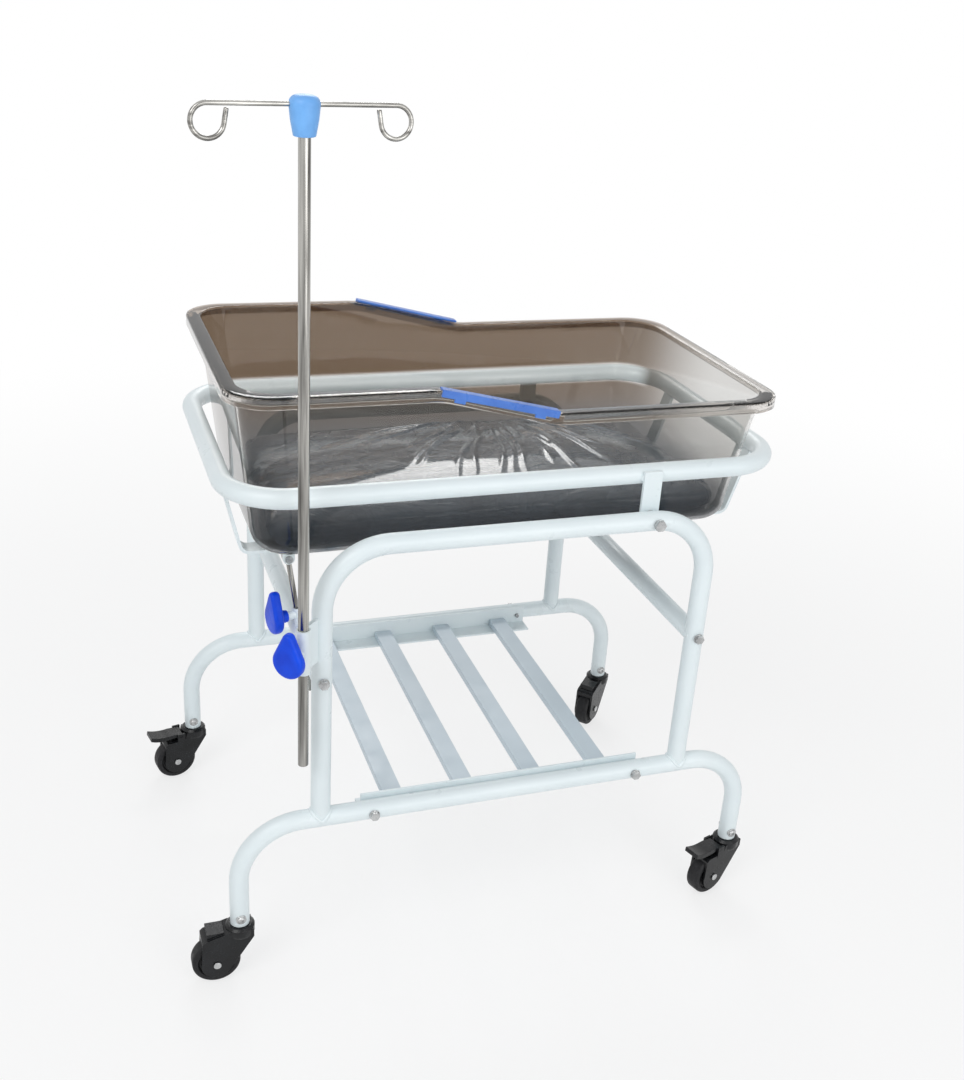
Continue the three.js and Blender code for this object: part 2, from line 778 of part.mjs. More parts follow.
// Tilt linkage: a clevis under the near strap, a pinned rod, and the sleeve in the head cross tube
function lugGeometry() {
  const top = strapTop - strapThickness - seatGap;
  const outer = rodEyeThickness / 2 + seatGap + lugEar;
  const half = lugWidth / 2;
  const shape = new THREE.Shape();
  shape.moveTo(half, top);
  shape.lineTo(-half, top);
  shape.lineTo(-half, rodPinHeight);
  shape.absarc(0, rodPinHeight, half, Math.PI, 2 * Math.PI, false);
  const block = plateXZ(shape, 2 * outer, 5);
  const slotY = rodEyeThickness / 2 + seatGap;
  const slot = box([-lugWidth, -slotY, rodPinHeight - lugWidth], [lugWidth, slotY, top - lugPlate]);
  return cut(block, [slot, crossHole(rodPinDiameter, 0, rodPinHeight)]);
}

function rodGeometry() {
  const eye = rod(rodEyeDiameter, point(0, -rodEyeThickness / 2, 0), point(0, rodEyeThickness / 2, 0));
  const shank = rod(rodDiameter, point(0, 0, 0), rodDown.clone().multiplyScalar(rodTail), 12);
  return cut(join([eye, shank]), [crossHole(rodPinDiameter, 0, 0)]);
}

function pinGeometry() {
  const reach = rodEyeThickness / 2 + seatGap + lugEar + 1;
  const shank = rod(rodPinDiameter, point(0, -reach, 0), point(0, reach, 0), 12);
  const head = rod(rodPinDiameter + 4, point(0, -reach - 2, 0), point(0, seatGap + 1 - reach - 0.6, 0), 12);
  return join([shank, head]);
}

const lug = add('tilt_lug', lugGeometry(), whitePaint, cradle);
lug.position.set(rodPinX, rodY, 0);
add('tilt_pin', pinGeometry(), zinc, cradle).position.copy(rodPinPoint);
add('tilt_rod', rodGeometry(), steel).position.copy(rodPinPoint);

// A clamp boss along +X with its screw hole, from inside a sleeve out to a given reach
function bossGeometry(inner, outer, height) {
  return rod(knobBossDiameter, point(inner, 0, height), point(outer, 0, height));
}

function screwHole(outer, height) {
  return rod(knobScrewDiameter + 2 * holeClearance, point(0, 0, height), point(outer + 1, 0, height), 12);
}

const tiltBossOut = sleeveDiameter / 2 + tiltBossLength;
const tiltKnobAxis = point(-1, 0, 0).applyAxisAngle(up, THREE.MathUtils.degToRad(tiltKnobTurn));
const tiltScrewFoot = sleeveCentre.clone().addScaledVector(rodDown, -tiltKnobRise);

function aimX(geometry, axis, origin) {
  const turn = new THREE.Quaternion().setFromUnitVectors(point(1, 0, 0), axis);
  geometry.applyQuaternion(turn);
  geometry.translate(origin.x, origin.y, origin.z);
  return geometry;
}

function tiltSleeveGeometry() {
  const boss = aimX(bossGeometry(sleeveBore / 2, tiltBossOut, 0), tiltKnobAxis, tiltScrewFoot);
  const hole = aimX(screwHole(tiltBossOut, 0), tiltKnobAxis, tiltScrewFoot);
  const bore = rod(
    sleeveBore,
    sleeveTop.clone().addScaledVector(rodDown, -1), sleeveBottom.clone().addScaledVector(rodDown, 1),
  );
  return cut(join([rod(sleeveDiameter, sleeveTop, sleeveBottom), boss]), [bore, hole]);
}
add('tilt_sleeve', tiltSleeveGeometry(), whitePaint, stand);

// Clamp knob along +Z: screw, neck and a pear-shaped paddle that points along +Y
function knobGeometry(screwTip, bossEnd, neck) {
  const shape = new THREE.Shape();
  const lean = Math.asin((knobLobe - knobTip) / knobReach);
  shape.absarc(0, 0, knobLobe - knobEdge, Math.PI - lean, 2 * Math.PI + lean, false);
  shape.absarc(0, knobReach, knobTip - knobEdge, lean, Math.PI - lean, false);
  const paddle = new THREE.ExtrudeGeometry(shape, {
    depth: knobThickness, bevelSize: knobEdge, bevelThickness: knobEdge, bevelSegments: 2, curveSegments: 7,
  });
  const neckFoot = bossEnd + seatGap;
  paddle.translate(0, 0, neckFoot + neck + knobEdge);
  const hub = turned([
    [0, neckFoot], [knobHubDiameter / 2, neckFoot], [knobHubDiameter / 2 + 2, neckFoot + neck + 1],
    [0, neckFoot + neck + 1],
  ], roundSides);
  const screw = rod(knobScrewDiameter, point(0, 0, screwTip), point(0, 0, neckFoot + neck), 12);
  return join([paddle, hub, screw]);
}

function placeKnob(mesh, origin, axis) {
  const across = new THREE.Vector3().crossVectors(up, axis).normalize();
  mesh.quaternion.setFromRotationMatrix(new THREE.Matrix4().makeBasis(across, up, axis));
  mesh.position.copy(origin);
}

const tiltScrewTip = rodPlay + rodDiameter / 2 + 2 * seatGap;
const tiltKnob = add('tilt_knob', knobGeometry(tiltScrewTip, tiltBossOut, tiltNeck), knobBlue);
placeKnob(tiltKnob, tiltScrewFoot, tiltKnobAxis);

// Drip pole: the socket stands off the near head leg on a plate, diagonally outwards
const poleAxis = point(-1, -1, 0).normalize();
const poleBase = point(-legX, -frameY, 0).addScaledVector(poleAxis, poleStandOff);
const socketInner = poleDiameter / 2 + holeClearance;
const socketOuter = socketInner + socketWall;
const poleBossOut = socketOuter + poleBossLength;
const poleScrewHeight = socketFoot + socketLength / 2;

function socketGeometry() {
  const top = socketFoot + socketLength;
  const sleeve = rod(2 * socketOuter, point(0, 0, socketFoot), point(0, 0, top));
  const plate = box(
    [-poleStandOff, -socketPlate / 2, socketFoot + socketPlateRise],
    [0, socketPlate / 2, top + socketPlateRise],
  );
  const boss = bossGeometry(0, poleBossOut, poleScrewHeight);
  const bore = rod(2 * socketInner, point(0, 0, socketFoot - 1), point(0, 0, top + 2 * socketPlateRise));
  const leg = rod(
    tubeDiameter + 2 * seatGap,
    point(-poleStandOff, 0, socketFoot - 1), point(-poleStandOff, 0, top + 2 * socketPlateRise),
  );
  const hole = screwHole(poleBossOut, poleScrewHeight);
  return cut(join([sleeve, plate, boss]), [bore, leg, hole]);
}

const socket = add('pole_socket', socketGeometry(), whitePaint, stand);
socket.rotation.z = Math.atan2(poleAxis.y, poleAxis.x);
socket.position.copy(poleBase);
const poleKnob = add('pole_knob', knobGeometry(poleDiameter / 2 + seatGap, poleBossOut, poleNeck), knobBlue);
placeKnob(poleKnob, poleBase.clone().setZ(poleScrewHeight), poleAxis);

const pole = new THREE.Group();
pole.position.copy(poleBase);
pole.rotation.z = THREE.MathUtils.degToRad(hookTurn);
bassinet.add(pole);
const hookHeight = capFoot + capHeight - hookDrop;

function capGeometry() {
  const top = capFoot + capHeight;
  const body = turned([
    [0, capFoot], [capFootDiameter / 2 - 2, capFoot], [capFootDiameter / 2, capFoot + 2],
    [capTopDiameter / 2, top - 8], [capTopDiameter / 2 - 1.2, top - 3.4], [capTopDiameter / 2 - 5, top - 0.8],
    [0, top],
  ], 20);
  const bore = rod(
    poleDiameter + 2 * seatGap, point(0, 0, capFoot - 1), point(0, 0, capFoot + capSocketDepth + seatGap),
  );
  const wireHole = rod(
    hookWire + 2 * holeClearance,
    point(-capTopDiameter, 0, hookHeight), point(capTopDiameter, 0, hookHeight), hookSides,
  );
  return cut(body, [bore, wireHole]);
}

// The hook wire: a straight bar through the cap that curls into an open loop at each end
function hookGeometry() {
  const sweepAngle = THREE.MathUtils.degToRad(hookSweep);
  const curl = (end, share) => {
    const angle = Math.PI / 2 - end * sweepAngle * share;
    const x = end * hookSpan / 2 + hookRadius * Math.cos(angle);
    return {
      point: point(x, 0, hookHeight - hookRadius + hookRadius * Math.sin(angle)),
      tangent: point(Math.sin(angle), 0, -Math.cos(angle)),
    };
  };
  const shares = Array.from({ length: hookSteps + 1 }, (_, i) => i / hookSteps);
  const head = [...shares].reverse().map((share) => curl(-1, share));
  const foot = shares.map((share) => curl(1, share));
  return tube([...head, ...foot], hookWire, hookSides);
}

add('drip_pole', rod(poleDiameter, point(0, 0, poleFoot), point(0, 0, capFoot + capSocketDepth)), steel, pole);
add('pole_cap', capGeometry(), capBlue, pole);
add('hook_wire', hookGeometry(), steel, pole);

// Casters: a moulded fork that swivels on a stem, a wheel on a headed axle, and brake pedals on two
const forkInner = wheelWidth / 2 + wheelGap;
const forkOuter = forkInner + forkCheek;
const forkTop = tubeEndHeight - seatGap;
const forkBossFoot = forkTop - forkBossHeight;

function forkGeometry(braked) {
  const boss = forkBossDiameter / 2;
  const axle = new THREE.Vector2(-casterTrail, axleHeight);
  const hoodTop = braked ? forkHoodTop - 3 : forkHoodTop;
  const shape = new THREE.Shape();
  shape.moveTo(boss - 3, forkTop - 4);
  shape.lineTo(-boss + 4, forkTop - 4);
  if (braked) shape.lineTo(-boss + 1, hoodTop);
  shape.lineTo(-forkHoodReach + 4, hoodTop);
  shape.lineTo(-forkHoodReach, hoodTop - 4);
  shape.lineTo(-forkHoodReach, forkHoodFoot);
  shape.absarc(axle.x, axle.y, forkAxleLobe, THREE.MathUtils.degToRad(165), THREE.MathUtils.degToRad(325), false);
  shape.lineTo(boss - 3, forkBossFoot);
  const cheeks = plateXZ(shape, 2 * forkOuter, 8);
  const collar = turned([
    [0, forkBossFoot], [boss - 1.5, forkBossFoot], [boss, forkBossFoot + 3], [boss, forkTop - 3],
    [boss - 3, forkTop], [0, forkTop],
  ], 20);
  const well = rod(
    wheelDiameter + 2 * forkWell, point(axle.x, -forkInner, axle.y), point(axle.x, forkInner, axle.y), 20,
  );
  const block = box(
    [-forkHoodReach + 6, -forkOuter + 3, hoodTop - 4], [-boss - 3, forkOuter - 3, hoodTop + forkBlockHeight],
  );
  const stemHole = rod(
    stemDiameter + 2 * holeClearance, point(0, 0, forkTop - stemBelow - seatGap), point(0, 0, forkTop + 1),
  );
  const axleHole = rod(
    axleDiameter + 2 * holeClearance,
    point(axle.x, -forkOuter - 1, axle.y), point(axle.x, forkOuter + 1, axle.y), 12,
  );
  const pinHole = rod(
    pedalPin + 2 * holeClearance,
    point(pedalHingeX, -pedalWidth, pedalHingeZ), point(pedalHingeX, pedalWidth, pedalHingeZ), 12,
  );
  const ears = [-1, 1].map((side) => {
    const inner = side * (pedalWidth / 2 + seatGap);
    const outer = side * (pedalWidth / 2 + seatGap + 3);
    const low = Math.min(inner, outer);
    const high = Math.max(inner, outer);
    return box([pedalHingeX - 5, low, hoodTop - 4], [pedalHingeX + 7, high, pedalHingeZ + 4]);
  });
  if (braked) return cut(join([cheeks, collar, ...ears]), [well, stemHole, axleHole, pinHole]);
  return cut(join([cheeks, collar, block]), [well, stemHole, axleHole]);
}

// Wheel about Y: hub, dished web and a tyre with rounded shoulders, with a flat facing the floor
function wheelGeometry() {
  const flatness = Math.cos(Math.PI / wheelSides);
  const tread = axleHeight / flatness;
  const half = wheelWidth / 2;
  const bore = axleDiameter / 2 + holeClearance;
  const web = half - wheelDish;
  const rim = tread - wheelRim;
  const hub = wheelHubDiameter / 2;
  const flank = [
    [bore, half + 0.4], [hub - 2, half + 0.4], [hub, web], [rim, web], [rim + 1.5, half],
    [tread - wheelShoulder, half], [tread - 1, half - 1.4], [tread, half - wheelShoulder],
  ];
  const mirrored = [...flank].reverse().map(([radius, y]) => [radius, -y]);
  const profile = [...flank, ...mirrored, flank[0]].map(([radius, y]) => new THREE.Vector2(radius, -y));
  const wheel = new THREE.LatheGeometry(profile, wheelSides, Math.PI / wheelSides);
  wheel.translate(-casterTrail, 0, axleHeight);
  return wheel;
}

function axleGeometry() {
  const reach = forkOuter + seatGap;
  const shank = rod(axleDiameter, point(0, -reach, 0), point(0, reach, 0), 12);
  const heads = [-1, 1].map((side) => rod(
    axleHeadDiameter, point(0, side * reach, 0), point(0, side * (reach + axleHeadHeight), 0), 12,
  ));
  const axle = join([shank, ...heads]);
  axle.translate(-casterTrail, 0, axleHeight);
  return axle;
}

function stemGeometry() {
  return rod(stemDiameter, point(0, 0, forkTop - stemBelow), point(0, 0, tubeEndHeight + stemSocket));
}

// Brake pedal: a tread plate on a pin between the fork's ears, with a flared toe
function pedalGeometry() {
  const toe = pedalHingeX - pedalReach;
  const low = pedalHingeZ - pedalThickness / 2;
  const shape = new THREE.Shape();
  shape.moveTo(pedalHingeX + 4, low);
  shape.lineTo(pedalHingeX + 4, low + pedalThickness);
  shape.lineTo(pedalHingeX - 14, low + pedalThickness + 1);
  shape.quadraticCurveTo(toe + 16, low + pedalThickness - 1, toe, low + pedalThickness + 5);
  shape.lineTo(toe - 1, low + 3.5);
  shape.quadraticCurveTo(toe + 14, low - 4, pedalHingeX - 10, low);
  const plate = plateXZ(shape, pedalWidth, 5);
  const pinReach = pedalWidth / 2 + seatGap + 3;
  const pin = rod(
    pedalPin, point(pedalHingeX, -pinReach, pedalHingeZ), point(pedalHingeX, pinReach, pedalHingeZ), 12,
  );
  return join([plate, pin]);
}

// Each caster rests turned a little, as it was last rolled: degrees from trailing towards the head end
const casters = [
  ['near_head', -stemX, -frameY, 0, false],
  ['near_foot', stemX, -frameY, 18, true],
  ['far_head', -stemX, frameY, 12, true],
  ['far_foot', stemX, frameY, 42, false],
];
for (const [label, x, y, turn, braked] of casters) {
  const caster = new THREE.Group();
  caster.position.set(x, y, 0);
  caster.rotation.z = THREE.MathUtils.degToRad(turn);
  bassinet.add(caster);
  add(`${label}_stem`, stemGeometry(), zinc, caster);
  add(`${label}_fork`, forkGeometry(braked), casterBlack, caster);
  add(`${label}_wheel`, wheelGeometry(), casterBlack, caster);
  add(`${label}_axle`, axleGeometry(), zinc, caster);
  if (braked) add(`${label}_brake_pedal`, pedalGeometry(), casterBlack, caster);
}

bassinet.updateMatrixWorld(true);
const bounds = new THREE.Box3().setFromObject(bassinet, true);
const middle = bounds.getCenter(new THREE.Vector3());
bassinet.position.set(-middle.x, -middle.y, -bounds.min.z);
bassinet.updateMatrixWorld(true);

export default bassinet;
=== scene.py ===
import json
import math
import random

import bmesh
import bpy
from mathutils import Matrix, Vector


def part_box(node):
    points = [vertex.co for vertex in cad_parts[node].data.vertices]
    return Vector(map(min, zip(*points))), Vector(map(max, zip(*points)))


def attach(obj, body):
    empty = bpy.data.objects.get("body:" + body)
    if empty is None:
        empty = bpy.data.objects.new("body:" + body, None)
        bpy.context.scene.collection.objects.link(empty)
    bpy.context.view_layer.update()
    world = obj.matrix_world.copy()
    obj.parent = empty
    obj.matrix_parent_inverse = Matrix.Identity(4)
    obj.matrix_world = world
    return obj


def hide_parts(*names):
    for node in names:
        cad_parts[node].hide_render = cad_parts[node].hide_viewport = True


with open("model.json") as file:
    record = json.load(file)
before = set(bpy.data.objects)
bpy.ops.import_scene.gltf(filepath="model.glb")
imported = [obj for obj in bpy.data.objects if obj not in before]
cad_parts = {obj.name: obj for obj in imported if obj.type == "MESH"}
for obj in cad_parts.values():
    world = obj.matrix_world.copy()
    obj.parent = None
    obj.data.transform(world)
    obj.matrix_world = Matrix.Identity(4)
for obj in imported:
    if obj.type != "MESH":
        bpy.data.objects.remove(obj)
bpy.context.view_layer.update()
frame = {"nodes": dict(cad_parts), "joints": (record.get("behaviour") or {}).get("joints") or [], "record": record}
scene = bpy.context.scene
mm = 0.001
weldDistance = 2e-6


def middleOf(node):
    low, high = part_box(node)
    return (low + high) / 2


def sizeOf(node):
    low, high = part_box(node)
    return high - low


def jointOf(name):
    return next(item for item in frame["joints"] if item["name"] == name)


print("stage: materials")

finishes = {
    "whitePaint": {
        "pale": (0.83, 0.905, 0.925), "deep": (0.78, 0.86, 0.885), "rough": (0.26, 0.4),
        "drift": 6, "grain": 260, "bump": 0.05,
    },
    # a greyer copy of the white paint for the shelf bars, which are in the same paint: painted shade under the basin
    "shadedBarPaint": {
        "pale": (0.63, 0.725, 0.79), "deep": (0.57, 0.66, 0.725), "rough": (0.3, 0.46),
        "drift": 7, "grain": 260, "bump": 0.05,
    },
    # the dark deep and pale tones, drawn out into bands by the stretch, are painted reflections on the steel
    "stainless": {
        "pale": (0.56, 0.55, 0.52), "deep": (0.1, 0.096, 0.09), "rough": (0.14, 0.26),
        "drift": 5, "grain": 420, "bump": 0.06, "metallic": 1.0,
    },
    "zinc": {
        "pale": (0.64, 0.65, 0.65), "deep": (0.36, 0.365, 0.37), "rough": (0.2, 0.38),
        "drift": 60, "grain": 700, "bump": 0.12, "metallic": 1.0,
    },
    "gripBlue": {
        "pale": (0.075, 0.225, 0.70), "deep": (0.045, 0.155, 0.56), "rough": (0.24, 0.4),
        "drift": 24, "grain": 1100, "bump": 0.2,
    },
    "knobBlue": {
        "pale": (0.001, 0.08, 0.86), "deep": (0.0, 0.05, 0.66), "rough": (0.3, 0.46),
        "drift": 30, "grain": 1000, "bump": 0.15, "specular": 0.28,
    },
    "capBlue": {
        "pale": (0.2, 0.5, 0.97), "deep": (0.16, 0.42, 0.86), "rough": (0.34, 0.5),
        "drift": 30, "grain": 1000, "bump": 0.15,
    },
    "casterBlack": {
        "pale": (0.011, 0.012, 0.014), "deep": (0.004, 0.0045, 0.005), "rough": (0.14, 0.3),
        "drift": 30, "grain": 800, "bump": 0.22, "specular": 0.3,
    },
    "wheelBlack": {
        "pale": (0.016, 0.016, 0.018), "deep": (0.006, 0.006, 0.007), "rough": (0.44, 0.66),
        "drift": 40, "grain": 650, "bump": 0.3, "specular": 0.3,
    },
}
drift = {"noise": 0.6, "low": 0.32, "high": 0.68}


# noise spread between two limits, for colour and gloss that drift over a surface
def makeDriftGroup():
    group = bpy.data.node_groups.new("surfaceDrift", "ShaderNodeTree")
    face = group.interface
    face.new_socket("Vector", in_out="INPUT", socket_type="NodeSocketVector")
    for name in ("Scale", "Detail", "Low", "High"):
        face.new_socket(name, in_out="INPUT", socket_type="NodeSocketFloat")
    for name in ("Mask", "Value"):
        face.new_socket(name, in_out="OUTPUT", socket_type="NodeSocketFloat")
    inside = group.nodes.new("NodeGroupInput")
    outside = group.nodes.new("NodeGroupOutput")
    noise = group.nodes.new("ShaderNodeTexNoise")
    noise.inputs["Roughness"].default_value = drift["noise"]
    spread = group.nodes.new("ShaderNodeMapRange")
    spread.inputs["From Min"].default_value = drift["low"]
    spread.inputs["From Max"].default_value = drift["high"]
    limits = group.nodes.new("ShaderNodeMapRange")
    join = group.links.new
    for name in ("Vector", "Scale", "Detail"):
        join(inside.outputs[name], noise.inputs[name])
    join(noise.outputs["Fac"], spread.inputs["Value"])
    join(spread.outputs["Result"], limits.inputs["Value"])
    join(inside.outputs["Low"], limits.inputs["To Min"])
    join(inside.outputs["High"], limits.inputs["To Max"])
    join(spread.outputs["Result"], outside.inputs["Mask"])
    join(limits.outputs["Result"], outside.inputs["Value"])
    return group


driftGroup = makeDriftGroup()


def newMaterial(name):
    material = bpy.data.materials.new(name)
    material.use_nodes = True
    tree = material.node_tree
    return material, tree, tree.nodes["Principled BSDF"]


# an output is linked to the socket, and a number or a colour is set on it
def feed(tree, socket, value):
    if isinstance(value, bpy.types.NodeSocket):
        tree.links.new(value, socket)
    elif isinstance(value, tuple):
        socket.default_value = (*value, 1)
    else:
        socket.default_value = value


def addDrift(tree, vector, scale, detail, low=0.0, high=1.0):
    node = tree.nodes.new("ShaderNodeGroup")
    node.node_tree = driftGroup
    for name, value in (("Vector", vector), ("Scale", scale), ("Detail", detail), ("Low", low), ("High", high)):
        feed(tree, node.inputs[name], value)
    return node


def addBlend(tree, mask, deep, pale):
    node = tree.nodes.new("ShaderNodeMix")
    node.data_type = "RGBA"
    for index, value in ((0, mask), (6, deep), (7, pale)):
        feed(tree, node.inputs[index], value)
    return node.outputs[2]


def addMath(tree, operation, *values):
    node = tree.nodes.new("ShaderNodeMath")
    node.operation = operation
    for socket, value in zip(node.inputs, values):
        feed(tree, socket, value)
    return node.outputs[0]


def addRange(tree, value, start, end, low=0.0, high=1.0):
    node = tree.nodes.new("ShaderNodeMapRange")
    node.interpolation_type = "SMOOTHSTEP"
    settings = {"Value": value, "From Min": start, "From Max": end, "To Min": low, "To Max": high}
    for name, setting in settings.items():
        feed(tree, node.inputs[name], setting)
    return node.outputs["Result"]


def addBump(tree, shader, height, strength, distance):
    bump = tree.nodes.new("ShaderNodeBump")
    bump.inputs["Strength"].default_value = strength
    bump.inputs["Distance"].default_value = distance
    tree.links.new(height, bump.inputs["Height"])
    tree.links.new(bump.outputs["Normal"], shader.inputs["Normal"])


def vertexShare(tree, name):
    node = tree.nodes.new("ShaderNodeAttribute")
    node.attribute_name = name
    return node.outputs["Fac"]


def mixSurface(tree, output, share, first, second):
    mix = tree.nodes.new("ShaderNodeMixShader")
    for socket, value in zip(mix.inputs, (share, first.outputs[0], second.outputs[0])):
        tree.links.new(value, socket)
    tree.links.new(mix.outputs[0], tree.nodes[output].inputs["Surface"])


def stretchedCoords(tree, scale=(1, 1, 1)):
    coords = tree.nodes.new("ShaderNodeTexCoord")
    mapping = tree.nodes.new("ShaderNodeMapping")
    mapping.inputs["Scale"].default_value = scale
    tree.links.new(coords.outputs["Object"], mapping.inputs["Vector"])
    return mapping.outputs["Vector"]


surface = {"toneDetail": 3, "glossDetail": 4, "glossRatio": 3.7, "grainDetail": 2, "grainDepth": 0.4 * mm}


# colour drifts slowly, gloss a little faster, and a fine grain gives the bump
def surfaceMaterial(name, stretch=(1, 1, 1)):
    finish = finishes[name]
    material, tree, shader = newMaterial(name)
    coords = stretchedCoords(tree, stretch)
    tone = addDrift(tree, coords, finish["drift"], surface["toneDetail"])
    gloss = addDrift(tree, coords, finish["drift"] * surface["glossRatio"], surface["glossDetail"], *finish["rough"])
    grain = addDrift(tree, coords, finish["grain"], surface["grainDetail"])
    colour = addBlend(tree, tone.outputs["Mask"], finish["deep"], finish["pale"])
    tree.links.new(colour, shader.inputs["Base Color"])
    tree.links.new(gloss.outputs["Value"], shader.inputs["Roughness"])
    addBump(tree, shader, grain.outputs["Value"], finish["bump"], surface["grainDepth"])
    shader.inputs["Metallic"].default_value = finish.get("metallic", 0.0)
    shader.inputs["Specular IOR Level"].default_value = finish.get("specular", 0.5)
    return material


# deep is the browner tint painted toward the far head corner, base is painted shade low in the tub, and the clear band
# at the ring's level is painted light
smoky = {
    "pale": (0.74, 0.735, 0.72), "deep": (0.168, 0.119, 0.081), "rough": (0.0, 0.022), "ior": 1.16,
    "rim": (0.76, 0.73, 0.7), "rimDeep": (0.42, 0.35, 0.29), "base": (0.2, 0.205, 0.215),
    "lean": 1.32, "fade": 0.3, "start": 0.55,
    "paintedRingLight": (0.92, 0.915, 0.9), "paintedRingLightZ": 661 * mm, "paintedRingLightHalf": 12.5 * mm, "paintedRingLightSoft": 4 * mm,
    "paintedRingLightY": (150 * mm, 185 * mm),
    "glossScale": 14, "glossDetail": 3, "rippleScale": 9, "rippleDetail": 1, "ripple": 0.12, "rippleDepth": 1 * mm,
    "coat": 0.35, "coatRough": 0.03, "straight": (0.95, 0.94, 0.93),
}


def smokyMaterial():
    material, tree, shader = newMaterial("smokyPlastic")
    coords = stretchedCoords(tree)
    gloss = addDrift(tree, coords, smoky["glossScale"], smoky["glossDetail"], *smoky["rough"])
    ripple = addDrift(tree, coords, smoky["rippleScale"], smoky["rippleDetail"])
    tree.links.new(gloss.outputs["Value"], shader.inputs["Roughness"])
    addBump(tree, shader, ripple.outputs["Value"], smoky["ripple"], smoky["rippleDepth"])

    # the tint is browner toward the far head corner and clearer toward the near foot: painted darkness of the
    # surroundings seen through the far wall, laid over the plastic's own smoky tint
    lean = tree.nodes.new("ShaderNodeMapping")
    lean.inputs["Rotation"].default_value = (0, 0, smoky["lean"])
    lean.inputs["Scale"].default_value = (1 / smoky["fade"],) * 3
    lean.inputs["Location"].default_value = (smoky["start"], 0, 0)
    gradient = tree.nodes.new("ShaderNodeTexGradient")
    gradient.gradient_type = "EASING"
    tree.links.new(coords, lean.inputs["Vector"])
    tree.links.new(lean.outputs["Vector"], gradient.inputs["Vector"])
    fade = gradient.outputs["Fac"]
    tint = addBlend(tree, fade, smoky["deep"], smoky["pale"])

    # a clearer band is painted on the far wall, level with the cradle's ring, so that the ring behind it shows bright:
    # painted light on the ring, and the wall is no thinner there
    place = tree.nodes.new("ShaderNodeSeparateXYZ")
    tree.links.new(coords, place.inputs[0])
    away = addMath(tree, "ABSOLUTE", addMath(tree, "SUBTRACT", place.outputs["Z"], smoky["paintedRingLightZ"]))
    farShare = addRange(tree, place.outputs["Y"], *smoky["paintedRingLightY"])
    half, soft = smoky["paintedRingLightHalf"], smoky["paintedRingLightSoft"]
    paintedRingLight = addRange(tree, away, half + soft, half - soft, 0.0, farShare)
    tint = addBlend(tree, paintedRingLight, tint, smoky["paintedRingLight"])

    # the tint is darker round the tub's base as painted shade low in the tub, and its rolled rim is thin and shows
    # clearer
    tint = addBlend(tree, vertexShare(tree, "baseShadeShare"), tint, smoky["base"])
    rim = addBlend(tree, fade, smoky["rimDeep"], smoky["rim"])
    tint = addBlend(tree, vertexShare(tree, "rimShare"), tint, rim)
    tree.links.new(tint, shader.inputs["Base Color"])
    shader.inputs["Transmission Weight"].default_value = 1.0
    shader.inputs["IOR"].default_value = smoky["ior"]
    shader.inputs["Coat Weight"].default_value = smoky["coat"]
    shader.inputs["Coat Roughness"].default_value = smoky["coatRough"]

    # lamps and sky shine straight through the clear walls
    clear = tree.nodes.new("ShaderNodeBsdfTransparent")
    feed(tree, clear.inputs["Color"], smoky["straight"])
    path = tree.nodes.new("ShaderNodeLightPath")
    light = addMath(tree, "MAXIMUM", path.outputs["Is Shadow Ray"], path.outputs["Is Diffuse Ray"])
    mixSurface(tree, "Material Output", light, shader, clear)
    return material


vinyl = {
    "pale": (0.105, 0.136, 0.172), "deep": (0.05, 0.066, 0.088), "rough": (0.16, 0.34),
    "toneScale": 11, "glossScale": 26, "detail": 4,
    "creaseStretch": (1, 2.6, 1), "creaseScale": 17, "creaseDetail": 5, "creaseWarp": 1.6,
    "crease": 0.5, "creaseDepth": 12 * mm, "coat": 1.0, "coatRough": 0.07,
}


# glossy coated cloth: long soft creases and small crumples catch the light
def vinylMaterial():
    material, tree, shader = newMaterial("padVinyl")
    coords = stretchedCoords(tree)
    tone = addDrift(tree, coords, vinyl["toneScale"], vinyl["detail"])
    gloss = addDrift(tree, coords, vinyl["glossScale"], vinyl["detail"], *vinyl["rough"])
    crease = tree.nodes.new("ShaderNodeTexNoise")
    crease.inputs["Scale"].default_value = vinyl["creaseScale"]
    crease.inputs["Detail"].default_value = vinyl["creaseDetail"]
    crease.inputs["Distortion"].default_value = vinyl["creaseWarp"]
    tree.links.new(stretchedCoords(tree, vinyl["creaseStretch"]), crease.inputs["Vector"])
    colour = addBlend(tree, tone.outputs["Mask"], vinyl["deep"], vinyl["pale"])
    tree.links.new(colour, shader.inputs["Base Color"])
    tree.links.new(gloss.outputs["Value"], shader.inputs["Roughness"])
    addBump(tree, shader, crease.outputs["Fac"], vinyl["crease"], vinyl["creaseDepth"])
    shader.inputs["Coat Weight"].default_value = vinyl["coat"]
    shader.inputs["Coat Roughness"].default_value = vinyl["coatRough"]
    return material


# these stretches draw the stainless tones out into painted reflection bands, upright on the pole and level along the
# hook wire
uprightReflectionBands = (30, 30, 1)
levelReflectionBands = (1, 30, 30)
materials = {
    "white_paint": surfaceMaterial("whitePaint"),
    "stainless": surfaceMaterial("stainless", uprightReflectionBands),
    "zinc": surfaceMaterial("zinc"),
    "smoky_plastic": smokyMaterial(),
    "grip_blue": surfaceMaterial("gripBlue"),
    "knob_blue": surfaceMaterial("knobBlue"),
    "cap_blue": surfaceMaterial("capBlue"),
    "pad_vinyl": vinylMaterial(),
    "caster_black": surfaceMaterial("casterBlack"),
    "wheel_black": surfaceMaterial("wheelBlack"),
}
shadedBarPaint = surfaceMaterial("shadedBarPaint")
hookSteel = surfaceMaterial("stainless", levelReflectionBands)
slotOf = {part["node"]: part["material_slot"] for part in frame["record"]["subparts"]}
for nodeName, nodeObject in frame["nodes"].items():
    nodeObject.data.materials.clear()
    nodeObject.data.materials.append(materials[slotOf[nodeName]])

bodyOf = {node: body for body, nodes in frame["record"]["behaviour"]["bodies"].items() for node in nodes}


